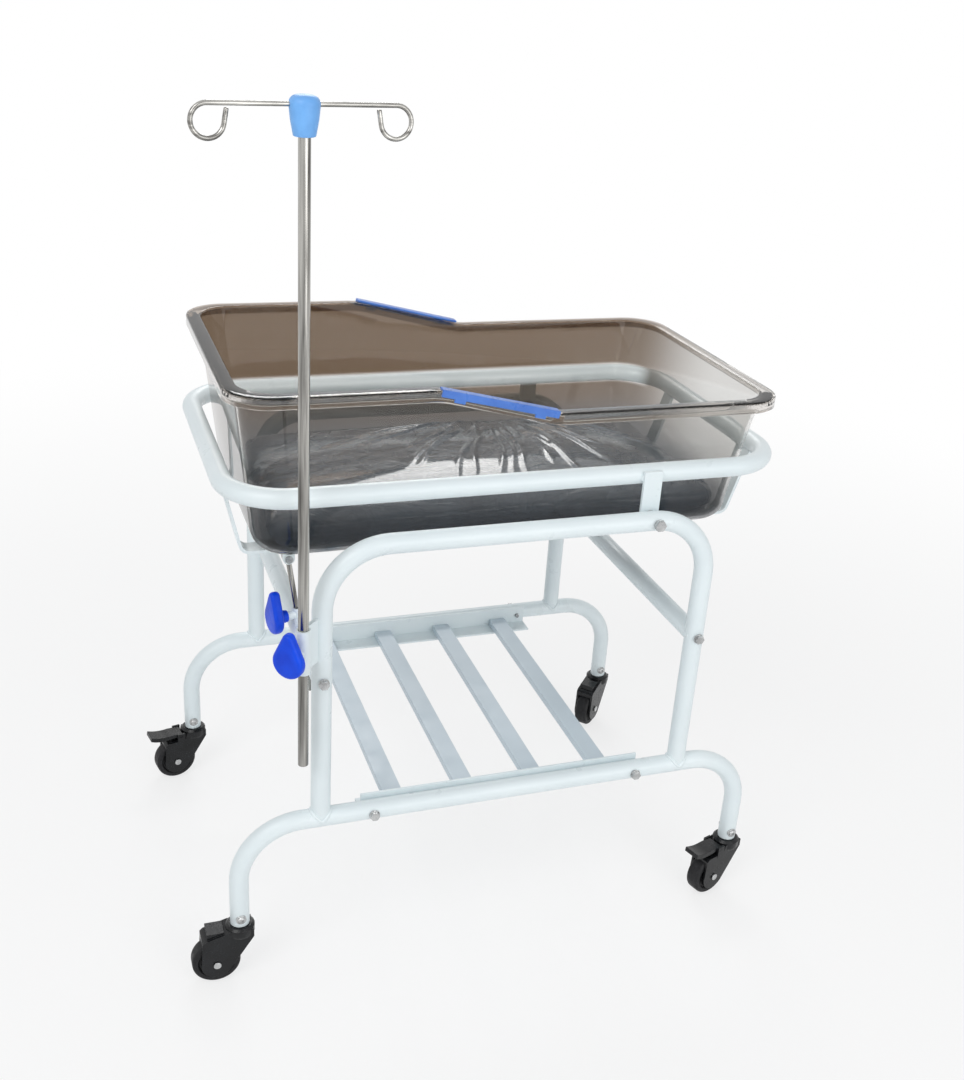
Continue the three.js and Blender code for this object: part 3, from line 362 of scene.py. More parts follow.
def finishPiece(bm, name, node, replaced=(), smoothAngle=35, recalculate=True):
    if recalculate:
        bmesh.ops.recalc_face_normals(bm, faces=bm.faces)
    mesh = bpy.data.meshes.new(name)
    bm.to_mesh(mesh)
    bm.free()
    return finishMesh(mesh, name, node, replaced, smoothAngle)


def finishMesh(mesh, name, node, replaced=(), smoothAngle=35):
    mesh.shade_smooth()
    mesh.set_sharp_from_angle(angle=math.radians(smoothAngle))
    mesh.materials.clear()
    mesh.materials.append(materials[slotOf[node]])
    piece = bpy.data.objects.new(name, mesh)
    scene.collection.objects.link(piece)
    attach(piece, bodyOf[node])
    if replaced:
        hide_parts(*replaced)
    return piece


def evaluatedMesh(helper):
    return bpy.data.meshes.new_from_object(helper.evaluated_get(bpy.context.evaluated_depsgraph_get()))


def mergeClose(bm):
    bmesh.ops.remove_doubles(bm, verts=bm.verts, dist=weldDistance)


def joinFlats(bm):
    bmesh.ops.dissolve_limit(bm, angle_limit=math.radians(1), verts=bm.verts, edges=bm.edges)


def sharpEdges(bm, angle):
    return [edge for edge in bm.edges if edge.is_manifold and edge.calc_face_angle() > math.radians(angle)]


def roundEdges(bm, edges, width, segments=3):
    bmesh.ops.bevel(
        bm, geom=edges, offset=width, offset_type="OFFSET", affect="EDGES", segments=segments,
        profile=0.5, material=-1, clamp_overlap=True,
    )


# a line of radii and heights, turned about Z
def turnedProfile(outline, steps):
    bm = bmesh.new()
    verts = [bm.verts.new((radius, 0, height)) for radius, height in outline]
    edges = [bm.edges.new(pair) for pair in zip(verts, verts[1:])]
    bmesh.ops.spin(
        bm, geom=verts + edges, cent=(0, 0, 0), axis=(0, 0, 1), angle=2 * math.pi, steps=steps,
        use_merge=True, use_duplicate=False,
    )
    mergeClose(bm)
    return bm


def quarterTurn(step, steps):
    return math.pi / 2 * step / steps


# a matrix that stands Z on a heading
def standing(place, heading, side):
    return Matrix.Translation(place) @ Vector(heading).to_track_quat("Z", side).to_matrix().to_4x4()


# a CAD node with its doubles merged and its flat faces joined, and its sharp edges rounded
def softenedNode(node, width, angle=32):
    bm = bmesh.new()
    bm.from_mesh(frame["nodes"][node].data)
    mergeClose(bm)
    joinFlats(bm)
    roundEdges(bm, sharpEdges(bm, angle), width)
    piece = finishPiece(bm, node + "_shape", node, (node,), recalculate=False)
    piece.modifiers.new("evenShading", "WEIGHTED_NORMAL").keep_sharp = True
    return piece


def edgesOf(geometry):
    return [item for item in geometry if isinstance(item, bmesh.types.BMEdge)]


def vertsOf(geometry):
    return [item for item in geometry if isinstance(item, bmesh.types.BMVert)]


# a round bar that is extruded along its runs and spun round its bends
class BentBar:
    def __init__(self, radius, start, heading, sides=40):
        self.bm = bmesh.new()
        self.here = Vector(start)
        self.heading = Vector(heading).normalized()
        place = standing(self.here, self.heading, "Y")
        bmesh.ops.create_circle(self.bm, cap_ends=False, segments=sides, radius=radius, matrix=place)
        self.first = list(self.bm.edges)
        self.loop = self.first

    def run(self, length):
        made = bmesh.ops.extrude_edge_only(self.bm, edges=self.loop)["geom"]
        step = self.heading * length
        fresh = set(vertsOf(made))
        bmesh.ops.translate(self.bm, verts=list(fresh), vec=step)
        self.loop = [edge for edge in edgesOf(made) if set(edge.verts) <= fresh]
        self.here = self.here + step
        return self

    def bend(self, centre, axis, angle=90, steps=14):
        turn = Matrix.Rotation(math.radians(angle), 4, Vector(axis))
        made = bmesh.ops.spin(
            self.bm, geom=self.loop, cent=centre, axis=axis, angle=math.radians(angle), steps=steps,
            use_merge=False, use_duplicate=False,
        )
        self.loop = edgesOf(made["geom_last"])
        self.here = Vector(centre) + turn @ (self.here - Vector(centre))
        self.heading = turn @ self.heading
        return self

    def closed(self, distance=2e-5):
        bmesh.ops.remove_doubles(self.bm, verts=self.bm.verts, dist=distance)
        return self.bm

    # both ends get a cap with a rounded edge
    def capped(self, rounding, angle=60):
        for loop in (self.first, self.loop):
            bmesh.ops.edgeloop_fill(self.bm, edges=loop)
        bmesh.ops.recalc_face_normals(self.bm, faces=self.bm.faces)
        rims = [edge for edge in self.bm.edges if edge.calc_face_angle(0) > math.radians(angle)]
        roundEdges(self.bm, rims, rounding)
        return self.bm


print("stage: stand tubes")

tubes = {"radius": 12.5 * mm, "bend": 80 * mm, "ringBend": 74 * mm, "rounding": 0.8 * mm, "crossEnd": 6 * mm}


# two legs and a rail in one tube, bent in the XZ plane
def hoop(left, right, y, foot, top):
    radius, bend = tubes["radius"], tubes["bend"]
    bar = BentBar(radius, (left, y, foot), (0, 0, 1))
    bar.run(top - bend - foot).bend((left + bend, y, top - bend), (0, 1, 0))
    bar.run(right - left - 2 * bend).bend((right - bend, y, top - bend), (0, 1, 0))
    return bar.run(top - bend - foot).capped(tubes["rounding"])


for side in ("near", "far"):
    bowLow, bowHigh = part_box(side + "_bow")
    y = (bowLow.y + bowHigh.y) / 2
    for node, foot in ((side + "_bow", bowLow.z), (side + "_arch", bowHigh.z - tubes["radius"])):
        low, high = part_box(node)
        left, right = low.x + tubes["radius"], high.x - tubes["radius"]
        finishPiece(hoop(left, right, y, foot, high.z - tubes["radius"]), node + "_tube", node, (node,))

for node in ("head_cross_tube", "foot_cross_tube"):
    low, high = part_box(node)
    centre = (low + high) / 2
    bar = BentBar(tubes["radius"], (centre.x, low.y - tubes["crossEnd"], centre.z), (0, 1, 0))
    bar.run(high.y - low.y + 2 * tubes["crossEnd"])
    finishPiece(bar.capped(tubes["rounding"]), node + "_bar", node, (node,))


def cradleRing():
    low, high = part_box("cradle_ring")
    radius, bend = tubes["radius"], tubes["ringBend"]
    middle = (low + high) / 2
    left, right, near, far = low.x + radius, high.x - radius, low.y + radius, high.y - radius
    up = (0, 0, 1)
    ring = BentBar(radius, (middle.x, near, middle.z), (1, 0, 0))
    ring.run(right - bend - middle.x).bend((right - bend, near + bend, middle.z), up)
    ring.run(far - near - 2 * bend).bend((right - bend, far - bend, middle.z), up)
    ring.run(right - left - 2 * bend).bend((left + bend, far - bend, middle.z), up)
    ring.run(far - near - 2 * bend).bend((left + bend, near + bend, middle.z), up)
    ring.run(middle.x - left - bend)
    finishPiece(ring.closed(), "cradle_ring_tube", "cradle_ring", ("cradle_ring",))


cradleRing()

print("stage: welds")

welds = {
    "bead": 2.3 * mm, "rounds": 2, "steps": 72, "leastRise": 0.1, "smooth": 60,
    "seam": (-4 * mm, -2 * mm, 0, 2 * mm, 3 * mm), "sink": 0.2 * mm,
}


# a bead along a line of points
def weldBead(name, node, points, closed=True):
    curve = bpy.data.curves.new(name, "CURVE")
    curve.dimensions = "3D"
    curve.bevel_depth = welds["bead"]
    curve.bevel_resolution = welds["rounds"]
    line = curve.splines.new("POLY")
    line.points.add(len(points) - 1)
    for spot, place in zip(line.points, points):
        spot.co = (*place, 1)
    line.use_cyclic_u = closed
    curve.use_fill_caps = not closed
    helper = bpy.data.objects.new(name + "_line", curve)
    scene.collection.objects.link(helper)
    mesh = evaluatedMesh(helper)
    bpy.data.objects.remove(helper)
    bpy.data.curves.remove(curve)
    finishMesh(mesh, name, node, (), welds["smooth"])


# where a tube along one axis meets an equal tube square to it
def saddlePoints(centre, along, across, radius):
    along, across = Vector(along), Vector(across)
    third = along.cross(across)
    points = []
    for step in range(welds["steps"]):
        angle = 2 * math.pi * (step + 0.5) / welds["steps"]
        swing = radius * math.cos(angle)
        rise = max(abs(swing), welds["leastRise"] * radius)
        points.append(Vector(centre) + across * swing + third * radius * math.sin(angle) + along * rise)
    return points


for side in ("near", "far"):
    archLow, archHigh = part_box(side + "_arch")
    bowLow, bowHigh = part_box(side + "_bow")
    y = (bowLow.y + bowHigh.y) / 2
    for end, x in (("head", archLow.x + tubes["radius"]), ("foot", archHigh.x - tubes["radius"])):
        foot = (x, y, bowHigh.z - tubes["radius"])
        points = saddlePoints(foot, (0, 0, 1), (1, 0, 0), tubes["radius"])
        weldBead(f"{side}_{end}_leg_weld", side + "_arch", points)

ringLow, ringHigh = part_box("cradle_ring")
ringZ = middleOf("cradle_ring").z
for side, y in (("near", ringLow.y + welds["sink"]), ("far", ringHigh.y - welds["sink"])):
    low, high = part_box(side + "_pivot_post")
    for end, x in (("head", low.x), ("foot", high.x)):
        seam = [Vector((x, y, ringZ + step)) for step in welds["seam"]]
        weldBead(f"{side}_post_{end}_weld", side + "_pivot_post", seam, closed=False)

print("stage: leg screws")

screw = {
    "washer": 6.6 * mm, "thick": 1.1 * mm, "chamfer": 0.3 * mm, "head": 4.9 * mm, "dome": 2.6 * mm, "domeFoot": 0.25,
    "domeSteps": 6, "socket": 2.4 * mm, "socketFloor": 0.6 * mm, "socketFlare": 0.25 * mm, "socketEdge": 0.15 * mm,
    "socketLip": 0.5 * mm, "shank": 2.5 * mm, "lift": 13 * mm, "standOff": 0.3 * mm, "sides": 32, "smooth": 40,
}


# a washer and a domed head with a round socket, turned about the screw's axis
def legScrew(name, node, place, out):
    thick, washer, head = screw["thick"], screw["washer"], screw["head"]
    floor = thick + screw["socketFloor"]
    lip = screw["socket"] + screw["socketLip"]
    outline = [
        (0, floor), (screw["socket"], floor),
        (screw["socket"] + screw["socketFlare"], thick + screw["dome"] - screw["socketEdge"]),
    ]
    for step in range(screw["domeSteps"] + 1):
        angle = quarterTurn(step, screw["domeSteps"])
        share = screw["domeFoot"] + (1 - screw["domeFoot"]) * math.cos(angle)
        outline.append((lip + (head - lip) * math.sin(angle), thick + screw["dome"] * share))
    outline += [
        (head, thick), (washer - screw["chamfer"], thick), (washer, thick - screw["chamfer"]),
        (washer, -screw["shank"]), (0, -screw["shank"]),
    ]
    bm = turnedProfile(outline, screw["sides"])
    bmesh.ops.transform(bm, matrix=standing(place, out, "X"), verts=bm.verts)
    piece = finishPiece(bm, name, node, (), screw["smooth"])
    piece.data.materials[0] = materials["zinc"]


for side in ("near", "far"):
    low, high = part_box(side + "_bow")
    for end, x in (("head", low.x + tubes["radius"]), ("foot", high.x - tubes["radius"])):
        for facing, y, out in (("front", low.y, -1), ("back", high.y, 1)):
            place = Vector((x, y + out * screw["standOff"], low.z + screw["lift"]))
            legScrew(f"{side}_{end}_{facing}_screw", side + "_bow", place, (0, out, 0))

print("stage: tub")

tub = {
    "wall": 4 * mm, "floorFillet": 28 * mm, "corner": 46 * mm, "floorCorner": 22 * mm, "edge": 3 * mm,
    "lip": 14 * mm, "flange": 14 * mm, "draft": 20 * mm, "rimCorner": 54 * mm, "step": 36 * mm,
    "rampBlend": 14 * mm, "rampInset": 1 * mm, "cornerSteps": 12, "filletSteps": 7, "wallSteps": 4, "edgeSteps": 5,
    "cuts": 76, "cutMargin": 4 * mm, "smooth": 50,
}
# painted shade low in the tub: how much it fades up the fillet, and how far and how strongly it reaches up the wall
baseShadeTint = {"filletLoss": 0.15, "wallFoot": 0.25, "wallReach": 0.3}

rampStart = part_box("near_grip")[0].x + tub["rampInset"]
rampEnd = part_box("near_grip")[1].x - tub["rampInset"]
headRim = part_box("tub")[1].z
footRim = headRim - tub["step"]


# the rim's height along the tub: level at the head, a ramp between the grips' ends, level at the foot
def rimAt(x):
    share = (x - rampStart) / (rampEnd - rampStart)
    soft = tub["rampBlend"] / (rampEnd - rampStart)
    if share <= -soft:
        rise = 0
    elif share < soft:
        rise = (share + soft) ** 2 / (4 * soft)
    elif share <= 1 - soft:
        rise = share
    elif share < 1 + soft:
        rise = 1 - (1 + soft - share) ** 2 / (4 * soft)
    else:
        rise = 1
    return headRim + (footRim - headRim) * rise


# half size, corner radius, level and zone of each ring of points, from the floor's fillet out to the lip
def tubRings(floorHalf, rimHalf, floorZ):
    fillet, corner, edge = tub["floorFillet"], tub["corner"], tub["edge"]
    footHalf = floorHalf + Vector((fillet, fillet))
    topHalf = footHalf + Vector((tub["draft"], tub["draft"]))
    rings = []
    for step in range(1, tub["filletSteps"] + 1):
        angle = quarterTurn(step, tub["filletSteps"])
        rise = fillet * math.sin(angle)
        radius = tub["floorCorner"] + (corner - tub["floorCorner"]) * step / tub["filletSteps"]
        rings.append((floorHalf + Vector((rise, rise)), radius, floorZ + fillet * (1 - math.cos(angle)), "fillet"))
    for step in range(1, tub["wallSteps"] + 1):
        share = step / tub["wallSteps"]
        rings.append((footHalf.lerp(topHalf, share), corner, share, "wall"))
    for step in range(1, tub["edgeSteps"] + 1):
        angle = quarterTurn(step, tub["edgeSteps"])
        out = edge * (1 - math.cos(angle))
        rings.append((topHalf + Vector((out, out)), corner + out, edge * (1 - math.sin(angle)), "rim"))
    for step in range(tub["edgeSteps"] + 1):
        angle = quarterTurn(step, tub["edgeSteps"])
        back = edge * (1 - math.sin(angle))
        level = edge * (1 - math.cos(angle))
        rings.append((rimHalf - Vector((back, back)), tub["rimCorner"] - back, level, "rim"))
    rings.append((rimHalf, tub["rimCorner"], tub["lip"], "rim"))
    return rings


# a flat floor with round corners, cut across so that the walls can follow the ramp
def tubFloor(bm, floorHalf):
    bmesh.ops.create_grid(bm, x_segments=1, y_segments=1, size=1)
    bmesh.ops.scale(bm, vec=(floorHalf.x, floorHalf.y, 1), verts=bm.verts)
    corners = list(bm.verts)
    bmesh.ops.bevel(
        bm, geom=corners, offset=tub["floorCorner"], offset_type="OFFSET", affect="VERTICES",
        segments=tub["cornerSteps"], profile=0.5, material=-1,
    )
    reach = floorHalf.x - tub["floorCorner"] - tub["cutMargin"]
    for step in range(tub["cuts"] + 1):
        x = -reach + 2 * reach * step / tub["cuts"]
        bmesh.ops.bisect_plane(
            bm, geom=bm.verts[:] + bm.edges[:] + bm.faces[:], dist=1e-7, plane_co=(x, 0, 0), plane_no=(1, 0, 0),
        )


# a point of one rounded rectangle moved to its place on the next
def movedOut(spot, half, radius, nextHalf, nextRadius):
    core = Vector((half.x - radius, half.y - radius))
    base = Vector((max(-core.x, min(core.x, spot.x)), max(-core.y, min(core.y, spot.y))))
    out = Vector((spot.x, spot.y)) - base
    out.normalize()
    nextCore = Vector((nextHalf.x - nextRadius, nextHalf.y - nextRadius))
    for axis in (0, 1):
        if abs(base[axis]) > core[axis] - 1e-6:
            base[axis] = math.copysign(nextCore[axis], base[axis])
    return base + out * nextRadius


def tubShell():
    low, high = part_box("tub")
    centre = (low + high) / 2
    wall, fillet = tub["wall"], tub["floorFillet"]
    inset = tub["flange"] + wall + tub["draft"] + fillet
    rimHalf = Vector(((high.x - low.x) / 2, (high.y - low.y) / 2))
    floorHalf = rimHalf - Vector((inset, inset))
    floorZ = low.z + wall
    wallFoot = floorZ + fillet
    bm = bmesh.new()
    rimShare = bm.verts.layers.float.new("rimShare")
    # one layer marks the clearer rim, the other the painted shade round the base
    baseShadeShare = bm.verts.layers.float.new("baseShadeShare")
    tubFloor(bm, floorHalf)
    bmesh.ops.translate(bm, verts=bm.verts, vec=(0, 0, floorZ))
    for vert in bm.verts:
        vert[baseShadeShare] = 1.0
    half, radius = floorHalf, tub["floorCorner"]
    for nextHalf, nextRadius, level, zone in tubRings(floorHalf, rimHalf, floorZ):
        border = [item for item in bm.edges if item.is_boundary]
        made = bmesh.ops.extrude_edge_only(bm, edges=border)["geom"]
        for vert in vertsOf(made):
            spot = movedOut(vert.co, half, radius, nextHalf, nextRadius)
            rim = rimAt(spot.x + centre.x)
            # the value set as thick is the share of painted base shade, not a wall thickness
            thick = 0.0
            if zone == "fillet":
                z = level
                thick = 1 - baseShadeTint["filletLoss"] * (level - floorZ) / fillet
            elif zone == "wall":
                z = wallFoot + level * (rim - tub["edge"] - wallFoot)
                if level < baseShadeTint["wallReach"]:
                    thick = baseShadeTint["wallFoot"]
            else:
                z = rim - level
            vert.co = (spot.x, spot.y, z)
            vert[rimShare] = 1.0 if zone == "rim" else 0.0
            vert[baseShadeShare] = thick
        half, radius = nextHalf, nextRadius
    bmesh.ops.translate(bm, verts=bm.verts, vec=(centre.x, centre.y, 0))
    bmesh.ops.recalc_face_normals(bm, faces=bm.faces)
    floorMiddle = Vector((centre.x, centre.y, floorZ))
    floorFace = min(bm.faces, key=lambda face: (face.calc_center_median() - floorMiddle).length)
    if floorFace.normal.z < 0:
        bmesh.ops.reverse_faces(bm, faces=bm.faces)
    shell = finishPiece(bm, "tub_shell", "tub", ("tub",), tub["smooth"], recalculate=False)
    thickness = shell.modifiers.new("wall", "SOLIDIFY")
    thickness.thickness = wall
    thickness.offset = -1
    thickness.use_even_offset = True


tubShell()

print("stage: mattress")

pad = {
    "voxel": 5 * mm, "pressure": 3.0, "quality": 4, "frames": 20, "cap": 4 * mm, "shrink": 0.985,
    "softTurns": 2, "softShare": 0.5, "flatFoot": 2 * mm, "smooth": 80,
}
folds = {
    "fan": {
        "apex": (0.09, 0.19), "from": 205, "to": 318, "count": 30, "start": (0.03, 0.09), "end": (0.16, 0.34),
    },
    "crumple": {
        "apex": (0.262, -0.108), "from": 0, "to": 360, "count": 15, "start": (0.002, 0.008), "end": (0.025, 0.06),
    },
    "jitter": (0.1, 0.9), "wide": (2.2, 3.8), "tall": (1.6, 4.0), "wave": (0, 6.3),
    "most": 5 * mm, "wander": 4 * mm, "wanderRate": 38, "tail": 3, "swell": 0.7,
    "crown": 13 * mm, "crownRound": 0.6, "topFacing": 0.3, "sideFacing": 0.5,
    "seam": 20 * mm, "welt": 1.3 * mm, "weltWide": 2.4 * mm,
}


# folds fan out from a point on the far side, and short ones crumple a near corner
def foldLines(middle):
    draw = random.Random(11)
    lines = []
    for fan in (folds["fan"], folds["crumple"]):
        apex = Vector((middle.x + fan["apex"][0], middle.y + fan["apex"][1]))
        for step in range(fan["count"]):
            share = (step + draw.uniform(*folds["jitter"])) / fan["count"]
            angle = math.radians(fan["from"] + (fan["to"] - fan["from"]) * share)
            lines.append({
                "apex": apex, "along": Vector((math.cos(angle), math.sin(angle))),
                "start": draw.uniform(*fan["start"]), "end": draw.uniform(*fan["end"]),
                "wide": draw.uniform(*folds["wide"]) * mm, "tall": draw.uniform(*folds["tall"]) * mm,
                "wave": draw.uniform(*folds["wave"]),
            })
    return lines


def foldRise(line, x, y):
    spot = Vector((x, y)) - line["apex"]
    reach = spot.dot(line["along"])
    if not line["start"] < reach < line["end"]:
        return 0
    wander = folds["wander"] * math.sin(reach * folds["wanderRate"] + line["wave"])
    off = spot.x * line["along"].y - spot.y * line["along"].x + wander
    if abs(off) > folds["tail"] * line["wide"]:
        return 0
    share = (reach - line["start"]) / (line["end"] - line["start"])
    return line["tall"] * math.sin(math.pi * share) ** folds["swell"] * math.exp(-(off / line["wide"]) ** 2)


# the top gets its folds and its crown, and a welted seam runs round the sides
def foldPad(bm, low, high):
    middle = (low + high) / 2
    lines = foldLines(middle)
    bm.normal_update()
    seamZ = low.z + folds["seam"]
    for vert in bm.verts:
        up = vert.normal.z
        if up > folds["topFacing"]:
            rise = sum(foldRise(line, vert.co.x, vert.co.y) for line in lines)
            across = 2 * (vert.co.y - middle.y) / (high.y - low.y)
            along = 2 * (vert.co.x - middle.x) / (high.x - low.x)
            crown = folds["crown"] * max(0, 1 - across ** 2) ** folds["crownRound"] * max(0, 1 - along ** 4)
            vert.co.z += min(rise, folds["most"]) * up + crown
        elif abs(up) < folds["sideFacing"]:
            welt = folds["welt"] * math.exp(-((vert.co.z - seamZ) / folds["weltWide"]) ** 2)
            vert.co += Vector((vert.normal.x, vert.normal.y, 0)) * welt


# the CAD form, drawn in a little and remeshed
def padForm():
    mesh = frame["nodes"]["mattress"].data.copy()
    mesh.name = "mattress_pad"
    bm = bmesh.new()
    bm.from_mesh(mesh)
    mergeClose(bm)
    centre = middleOf("mattress")
    shrink = (pad["shrink"], pad["shrink"], 1)
    bmesh.ops.scale(bm, vec=shrink, space=Matrix.Translation(-centre), verts=bm.verts)
    bm.to_mesh(mesh)
    bm.free()
    helper = bpy.data.objects.new("mattress_form", mesh)
    scene.collection.objects.link(helper)
    remesh = helper.modifiers.new("remesh", "REMESH")
    remesh.mode = "VOXEL"
    remesh.voxel_size = pad["voxel"]
    form = evaluatedMesh(helper)
    helper.modifiers.clear()
    helper.data = form
    return helper


# where the form's points lie after it has swollen as cloth
def swollenPoints(helper):
    cloth = helper.modifiers.new("swell", "CLOTH")
    cloth.settings.use_pressure = True
    cloth.settings.uniform_pressure_force = pad["pressure"]
    cloth.settings.effector_weights.gravity = 0
    cloth.settings.quality = pad["quality"]
    cloth.point_cache.frame_end = pad["frames"]
    for step in range(1, pad["frames"] + 1):
        scene.frame_set(step)
    points = [vert.co.copy() for vert in evaluatedMesh(helper).vertices]
    helper.modifiers.clear()
    scene.frame_set(1)
    return points


# the pad starts from its CAD form, swells a little as cloth, is smoothed by one subdivision, and is folded
def mattressPad():
    low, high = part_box("mattress")
    helper = padForm()
    form = helper.data
    start = [vert.co.copy() for vert in form.vertices]
    moved = swollenPoints(helper)
    bm = bmesh.new()
    bm.from_mesh(form)
    for vert, before, after in zip(bm.verts, start, moved):
        shift = after - before
        if shift.length > pad["cap"]:
            shift = shift.normalized() * pad["cap"]
        spot = before + shift
        spot.z = max(spot.z, low.z)
        vert.co = spot
    for turn in range(pad["softTurns"]):
        raised = [vert for vert in bm.verts if vert.co.z > low.z + pad["flatFoot"]]
        bmesh.ops.smooth_vert(
            bm, verts=raised, factor=pad["softShare"], use_axis_x=True, use_axis_y=True, use_axis_z=True,
        )
    bm.to_mesh(form)
    bm.free()
    smooth = helper.modifiers.new("smooth", "SUBSURF")
    smooth.levels = 1
    smooth.render_levels = 1
    fine = evaluatedMesh(helper)
    bpy.data.objects.remove(helper)
    bm = bmesh.new()
    bm.from_mesh(fine)
    bpy.data.meshes.remove(fine)
    foldPad(bm, low, high)
    piece = finishPiece(bm, "mattress_pad", "mattress", ("mattress",), pad["smooth"], recalculate=False)


mattressPad()

print("stage: grips, straps, shelf and fasteners")

edgeRounding = {
    "near_grip": 1.1 * mm, "far_grip": 1.1 * mm,
    "near_strap": 0.8 * mm, "far_strap": 0.8 * mm,
    "near_pivot_post": 0.9 * mm, "far_pivot_post": 0.9 * mm,
    "near_shelf_angle": 0.7 * mm, "far_shelf_angle": 0.7 * mm,
    "tilt_lug": 0.6 * mm, "tilt_pin": 0.4 * mm, "pole_socket": 0.6 * mm, "tilt_sleeve": 0.5 * mm,
    "near_pivot_bolt": 0.5 * mm, "far_pivot_bolt": 0.5 * mm,
}
for number in range(1, 5):
    edgeRounding[f"shelf_bar_{number}"] = 0.5 * mm
cornerRounding = {"cross_bolt": 0.45 * mm, "shelf_bolt": 0.45 * mm, "fork": 1.8 * mm, "axle": 0.4 * mm}
corners = ("near_head", "near_foot", "far_head", "far_foot")
for corner in corners:
    for kind, width in cornerRounding.items():
        edgeRounding[f"{corner}_{kind}"] = width
edgeRounding["near_foot_brake_pedal"] = 1.4 * mm
edgeRounding["far_head_brake_pedal"] = 1.4 * mm
for nodeName, width in edgeRounding.items():
    piece = softenedNode(nodeName, width)
    # the shelf bars take the greyer copy of the white paint, painted shade under the basin
    if nodeName.startswith("shelf_bar"):
        piece.data.materials[0] = shadedBarPaint

print("stage: drip pole")

pole = {
    "radius": 6.35 * mm, "rounding": 1.2 * mm, "wire": 2.5 * mm, "wireEnd": 1.5 * mm, "wireSides": 20,
    "turn": 5.5, "span": 94 * mm, "loop": 16 * mm, "sweep": 260, "loopSteps": 36, "hookEnd": 15 * mm,
}


def dripPole():
    low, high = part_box("drip_pole")
    centre = (low + high) / 2
    bar = BentBar(pole["radius"], (centre.x, centre.y, low.z), (0, 0, 1))
    bar.run(high.z - low.z)
    finishPiece(bar.capped(pole["rounding"]), "drip_pole_bar", "drip_pole", ("drip_pole",))

    turn = Matrix.Rotation(math.radians(pole["turn"]), 4, "Z")
    middle = Vector((centre.x, centre.y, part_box("hook_wire")[1].z - pole["wire"]))
    drop = Vector((0, 0, -pole["loop"]))
    hooks = []
    for way in (1, -1):
        along, across = turn @ Vector((way, 0, 0)), turn @ Vector((0, way, 0))
        hook = BentBar(pole["wire"], middle, along, pole["wireSides"])
        hook.run(pole["span"])
        hook.bend(middle + along * pole["span"] + drop, across, pole["sweep"], pole["loopSteps"])
        hooks.append(hook.run(pole["hookEnd"]).capped(pole["wireEnd"]))
    both, other = hooks
    spare = bpy.data.meshes.new("spareHook")
    other.to_mesh(spare)
    other.free()
    both.from_mesh(spare)
    bpy.data.meshes.remove(spare)
    wire = finishPiece(both, "hook_wire_bar", "hook_wire", ("hook_wire",))
    # the hook wire's copy has its painted reflection bands running along the wire
    wire.data.materials[0] = hookSteel  # its streaks run along the wire


dripPole()

cap = {
    "lift": 6 * mm, "foot": 11.5 * mm, "footEdge": 2 * mm, "footSoft": 0.5 * mm, "boreTop": 14 * mm,
    "boreEdge": 1 * mm, "boreSoft": 0.6 * mm, "waist": 14.1 * mm, "waistUp": 16 * mm, "shoulder": 15.5 * mm,
    "dome": 9 * mm, "domeRound": 0.55, "domeSteps": 8, "sides": 64, "smooth": 50,
}


def poleCap():
    low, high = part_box("pole_cap")
    centre = (low + high) / 2
    foot = low.z + cap["lift"]
    outline = [
        (pole["radius"], low.z + cap["boreTop"]), (pole["radius"], foot + cap["boreSoft"]),
        (pole["radius"] + cap["boreEdge"], foot), (cap["foot"] - cap["footEdge"], foot),
        (cap["foot"] - cap["footSoft"], foot + cap["footSoft"]), (cap["foot"], foot + cap["footEdge"]),
        (cap["waist"], foot + cap["waistUp"]), (cap["shoulder"], high.z - cap["dome"]),
    ]
    for step in range(1, cap["domeSteps"]):
        angle = quarterTurn(step, cap["domeSteps"])
        radius = cap["shoulder"] * math.cos(angle) ** cap["domeRound"]
        outline.append((radius, high.z - cap["dome"] * (1 - math.sin(angle))))
    outline.append((0, high.z))
    bm = turnedProfile(outline, cap["sides"])
    bmesh.ops.translate(bm, verts=bm.verts, vec=(centre.x, centre.y, 0))
    finishPiece(bm, "pole_cap_moulding", "pole_cap", ("pole_cap",), cap["smooth"])


poleCap()

print("stage: clamp knobs")

knob = {
    "lobe": 20 * mm, "lobeSides": 72, "tip": 7 * mm, "tipSides": 48, "reach": 30 * mm, "thick": 12.8 * mm,
    "edge": 4.6 * mm, "edgeSteps": 6, "edgeAngle": 60, "hub": 7.5 * mm, "hubTop": 9.5 * mm, "hubSink": 1 * mm,
    "screw": 3 * mm, "sides": 40, "smooth": 40,
}


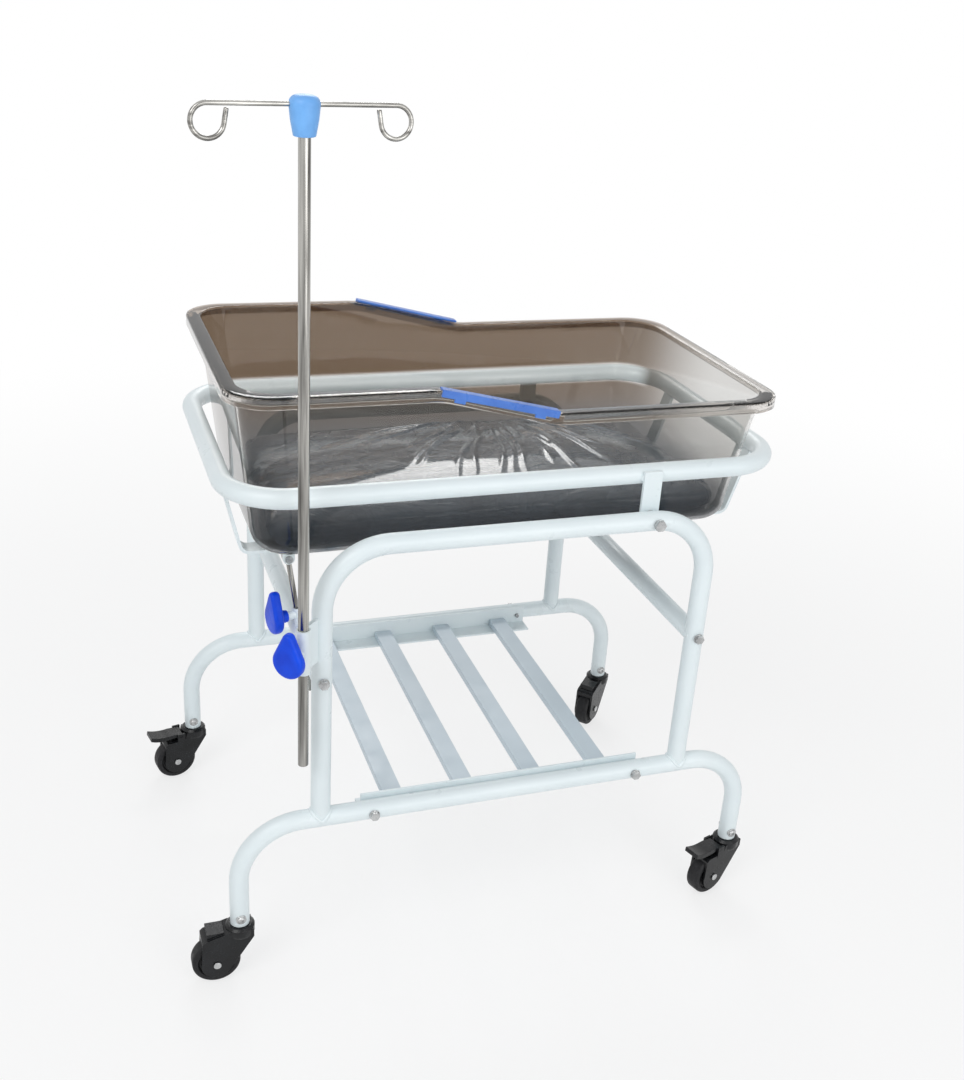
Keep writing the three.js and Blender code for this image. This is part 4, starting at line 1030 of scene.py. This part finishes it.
# a pear-shaped paddle round two circles, with a hub and a screw
def clampKnob(node, joint, neckFoot, neck, screwTip):
    record = jointOf(joint)
    axis = Vector(record["axis"]).normalized()
    up = Vector((0, 0, 1))
    across = up.cross(axis).normalized()
    place = Matrix((across, up, axis)).transposed().to_4x4()
    place.translation = Vector(record["pos_m"])
    bm = bmesh.new()
    foot = neckFoot + neck
    circles = ((0, knob["lobe"], knob["lobeSides"]), (knob["reach"], knob["tip"], knob["tipSides"]))
    for level in (foot, foot + knob["thick"]):
        for y, radius, sides in circles:
            bmesh.ops.create_circle(bm, segments=sides, radius=radius, matrix=Matrix.Translation((0, y, level)))
    hull = bmesh.ops.convex_hull(bm, input=bm.verts)
    bmesh.ops.delete(bm, geom=vertsOf(hull["geom_interior"]), context="VERTS")
    joinFlats(bm)
    roundEdges(bm, sharpEdges(bm, knob["edgeAngle"]), knob["edge"], knob["edgeSteps"])
    hub = (neckFoot, foot + knob["hubSink"], knob["hub"], knob["hubTop"])
    screwBar = (screwTip, foot, knob["screw"], knob["screw"])
    for low, high, radius1, radius2 in (hub, screwBar):
        bmesh.ops.create_cone(
            bm, cap_ends=True, segments=knob["sides"], radius1=radius1, radius2=radius2, depth=high - low,
            matrix=Matrix.Translation((0, 0, (low + high) / 2)),
        )
    bmesh.ops.transform(bm, matrix=place, verts=bm.verts)
    finishPiece(bm, node + "_moulding", node, (node,), knob["smooth"])


clampKnob("pole_knob", "pole_knob_turn", neckFoot=16 * mm, neck=7 * mm, screwTip=6.7 * mm)
clampKnob("tilt_knob", "tilt_knob_turn", neckFoot=16.1 * mm, neck=10 * mm, screwTip=5.8 * mm)

print("stage: tilt rod")

rod = {
    "radius": 3.5 * mm, "sides": 24, "length": 198 * mm, "rounding": 0.8 * mm,
    "eye": 7.5 * mm, "eyeWide": 7 * mm, "eyeSides": 40,
}


def tiltRod():
    top = Vector(jointOf("rod_pivot")["pos_m"])
    low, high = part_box("tilt_rod")
    foot = Vector((high.x - rod["radius"], top.y, low.z))
    bar = BentBar(rod["radius"], top, foot - top, rod["sides"])
    bm = bar.run(rod["length"]).capped(rod["rounding"])
    bmesh.ops.create_cone(
        bm, cap_ends=True, segments=rod["eyeSides"], radius1=rod["eye"], radius2=rod["eye"], depth=rod["eyeWide"],
        matrix=Matrix.Translation(top) @ Matrix.Rotation(math.pi / 2, 4, "X"),
    )
    finishPiece(bm, "tilt_rod_bar", "tilt_rod", ("tilt_rod",))


tiltRod()

print("stage: casters")

wheel = {
    "bore": 3.4 * mm, "hub": 11 * mm, "hubHigh": 10.9 * mm, "hubEdge": 1.4 * mm, "hubDrop": 1 * mm,
    "hubFlare": 0.8 * mm, "web": 7.2 * mm, "rim": 23 * mm, "rimEdge": 1 * mm, "rimDrop": 0.9 * mm, "half": 10.5 * mm,
    "shoulder": 4 * mm, "shoulderSteps": 6, "sides": 80, "smooth": 38,
}


# the half profile from hub to tread is turned about the axle, then mirrored across the wheel's middle
def casterWheel(corner):
    node = corner + "_wheel"
    record = jointOf(corner + "_wheel_roll")
    tread = sizeOf(node).z / 2
    hub, hubHigh, rim, half, shoulder = (wheel[name] for name in ("hub", "hubHigh", "rim", "half", "shoulder"))
    outline = [
        (wheel["bore"], hubHigh), (hub - wheel["hubEdge"], hubHigh), (hub, hubHigh - wheel["hubDrop"]),
        (hub + wheel["hubFlare"], wheel["web"]), (rim - wheel["rimEdge"], wheel["web"]),
        (rim, half - wheel["rimDrop"]), (rim + wheel["rimEdge"], half), (tread - shoulder, half),
    ]
    for step in range(1, wheel["shoulderSteps"] + 1):
        angle = quarterTurn(step, wheel["shoulderSteps"])
        outline.append((tread - shoulder * (1 - math.sin(angle)), half - shoulder * (1 - math.cos(angle))))
    outline.append((tread, 0))
    bm = turnedProfile(outline, wheel["sides"])
    bmesh.ops.mirror(
        bm, geom=bm.verts[:] + bm.edges[:] + bm.faces[:], matrix=Matrix.Identity(4), merge_dist=weldDistance, axis="Z",
    )
    mergeClose(bm)
    place = standing(Vector(record["pos_m"]), Vector(record["axis"]).normalized(), "X")
    bmesh.ops.transform(bm, matrix=place, verts=bm.verts)
    finishPiece(bm, node + "_tyre", node, (node,), wheel["smooth"])


for corner in corners:
    casterWheel(corner)

print("stage: floor, light and camera")

studio = {
    "floorSize": 60, "floorTone": (0.93, 0.93, 0.93), "floorRough": 0.9, "floorSpecular": 0.1,
    "nearWhite": 0.7, "farWhite": 2.6, "nearGlow": 0.7, "worldTone": (0.97, 0.985, 1), "worldLight": 0.48,
}


# one for rays that reach the eye straight, by a mirror or through clear plastic
def seenRays(tree):
    path = tree.nodes.new("ShaderNodeLightPath")
    seen = path.outputs["Is Camera Ray"]
    for kind in ("Is Glossy Ray", "Is Transmission Ray"):
        seen = addMath(tree, "MAXIMUM", seen, path.outputs[kind])
    return seen


# a plain floor that keeps the shadow, and glows to white further out
def paleFloor():
    bm = bmesh.new()
    bmesh.ops.create_grid(bm, x_segments=1, y_segments=1, size=studio["floorSize"])
    mesh = bpy.data.meshes.new("floor")
    bm.to_mesh(mesh)
    bm.free()
    material, tree, shader = newMaterial("paleFloor")
    feed(tree, shader.inputs["Base Color"], studio["floorTone"])
    shader.inputs["Roughness"].default_value = studio["floorRough"]
    shader.inputs["Specular IOR Level"].default_value = studio["floorSpecular"]
    glow = tree.nodes.new("ShaderNodeEmission")
    coords = tree.nodes.new("ShaderNodeTexCoord")
    length = tree.nodes.new("ShaderNodeVectorMath")
    length.operation = "LENGTH"
    tree.links.new(coords.outputs["Object"], length.inputs[0])
    fade = addRange(tree, length.outputs["Value"], studio["nearWhite"], studio["farWhite"], studio["nearGlow"])
    mixSurface(tree, "Material Output", addMath(tree, "MULTIPLY", fade, seenRays(tree)), shader, glow)
    mesh.materials.append(material)
    floor = bpy.data.objects.new("floor", mesh)
    scene.collection.objects.link(floor)


def softWorld():
    world = bpy.data.worlds.new("softWorld")
    scene.world = world
    world.use_nodes = True
    tree = world.node_tree
    light = tree.nodes["Background"]
    feed(tree, light.inputs["Color"], studio["worldTone"])
    light.inputs["Strength"].default_value = studio["worldLight"]
    white = tree.nodes.new("ShaderNodeBackground")
    feed(tree, white.inputs["Color"], (1, 1, 1))
    white.inputs["Strength"].default_value = 1
    mixSurface(tree, "World Output", seenRays(tree), light, white)


lamps = {
    "keyLamp": {"place": (-1.9, -1.7, 2.7), "aim": (0, 0, 0.5), "size": (1.6, 1.6), "power": 34},
    "fillLamp": {"place": (0.9, -2.5, 1.2), "aim": (0, 0, 0.5), "size": (1.8, 1.8), "power": 19},
    "backLamp": {"place": (0.5, 2.3, 2.2), "aim": (0, 0, 0.6), "size": (1.2, 0.7), "power": 16},
}


def softLamp(name, place, aim, size, power):
    data = bpy.data.lights.new(name, "AREA")
    data.shape = "RECTANGLE"
    data.size, data.size_y = size
    data.energy = power
    lamp = bpy.data.objects.new(name, data)
    lamp.location = place
    lamp.rotation_euler = (Vector(aim) - Vector(place)).to_track_quat("-Z", "Y").to_euler()
    scene.collection.objects.link(lamp)


paleFloor()
softWorld()
for lampName, lamp in lamps.items():
    softLamp(lampName, **lamp)

shot = {
    "place": (-0.51119, -1.49329, 1.22363), "yaw": 0.3576, "pitch": -0.4303, "roll": 0.0671,
    "lens": 42.093, "sensor": 36, "reach": 200,
}


def photoCamera():
    yaw, pitch, roll = shot["yaw"], shot["pitch"], shot["roll"]
    ahead = Vector((math.sin(yaw) * math.cos(pitch), math.cos(yaw) * math.cos(pitch), math.sin(pitch)))
    right = Vector((math.cos(yaw), -math.sin(yaw), 0))
    above = right.cross(ahead)
    leanRight = right * math.cos(roll) + above * math.sin(roll)
    leanUp = above * math.cos(roll) - right * math.sin(roll)
    data = bpy.data.cameras.new("photoCamera")
    data.lens = shot["lens"]
    data.sensor_width = shot["sensor"]
    data.clip_end = shot["reach"]
    camera = bpy.data.objects.new("photoCamera", data)
    turn = Matrix((leanRight, leanUp, -ahead)).transposed().to_4x4()
    turn.translation = Vector(shot["place"])
    camera.matrix_world = turn
    scene.collection.objects.link(camera)
    scene.camera = camera


photoCamera()
scene.view_settings.view_transform = "Standard"
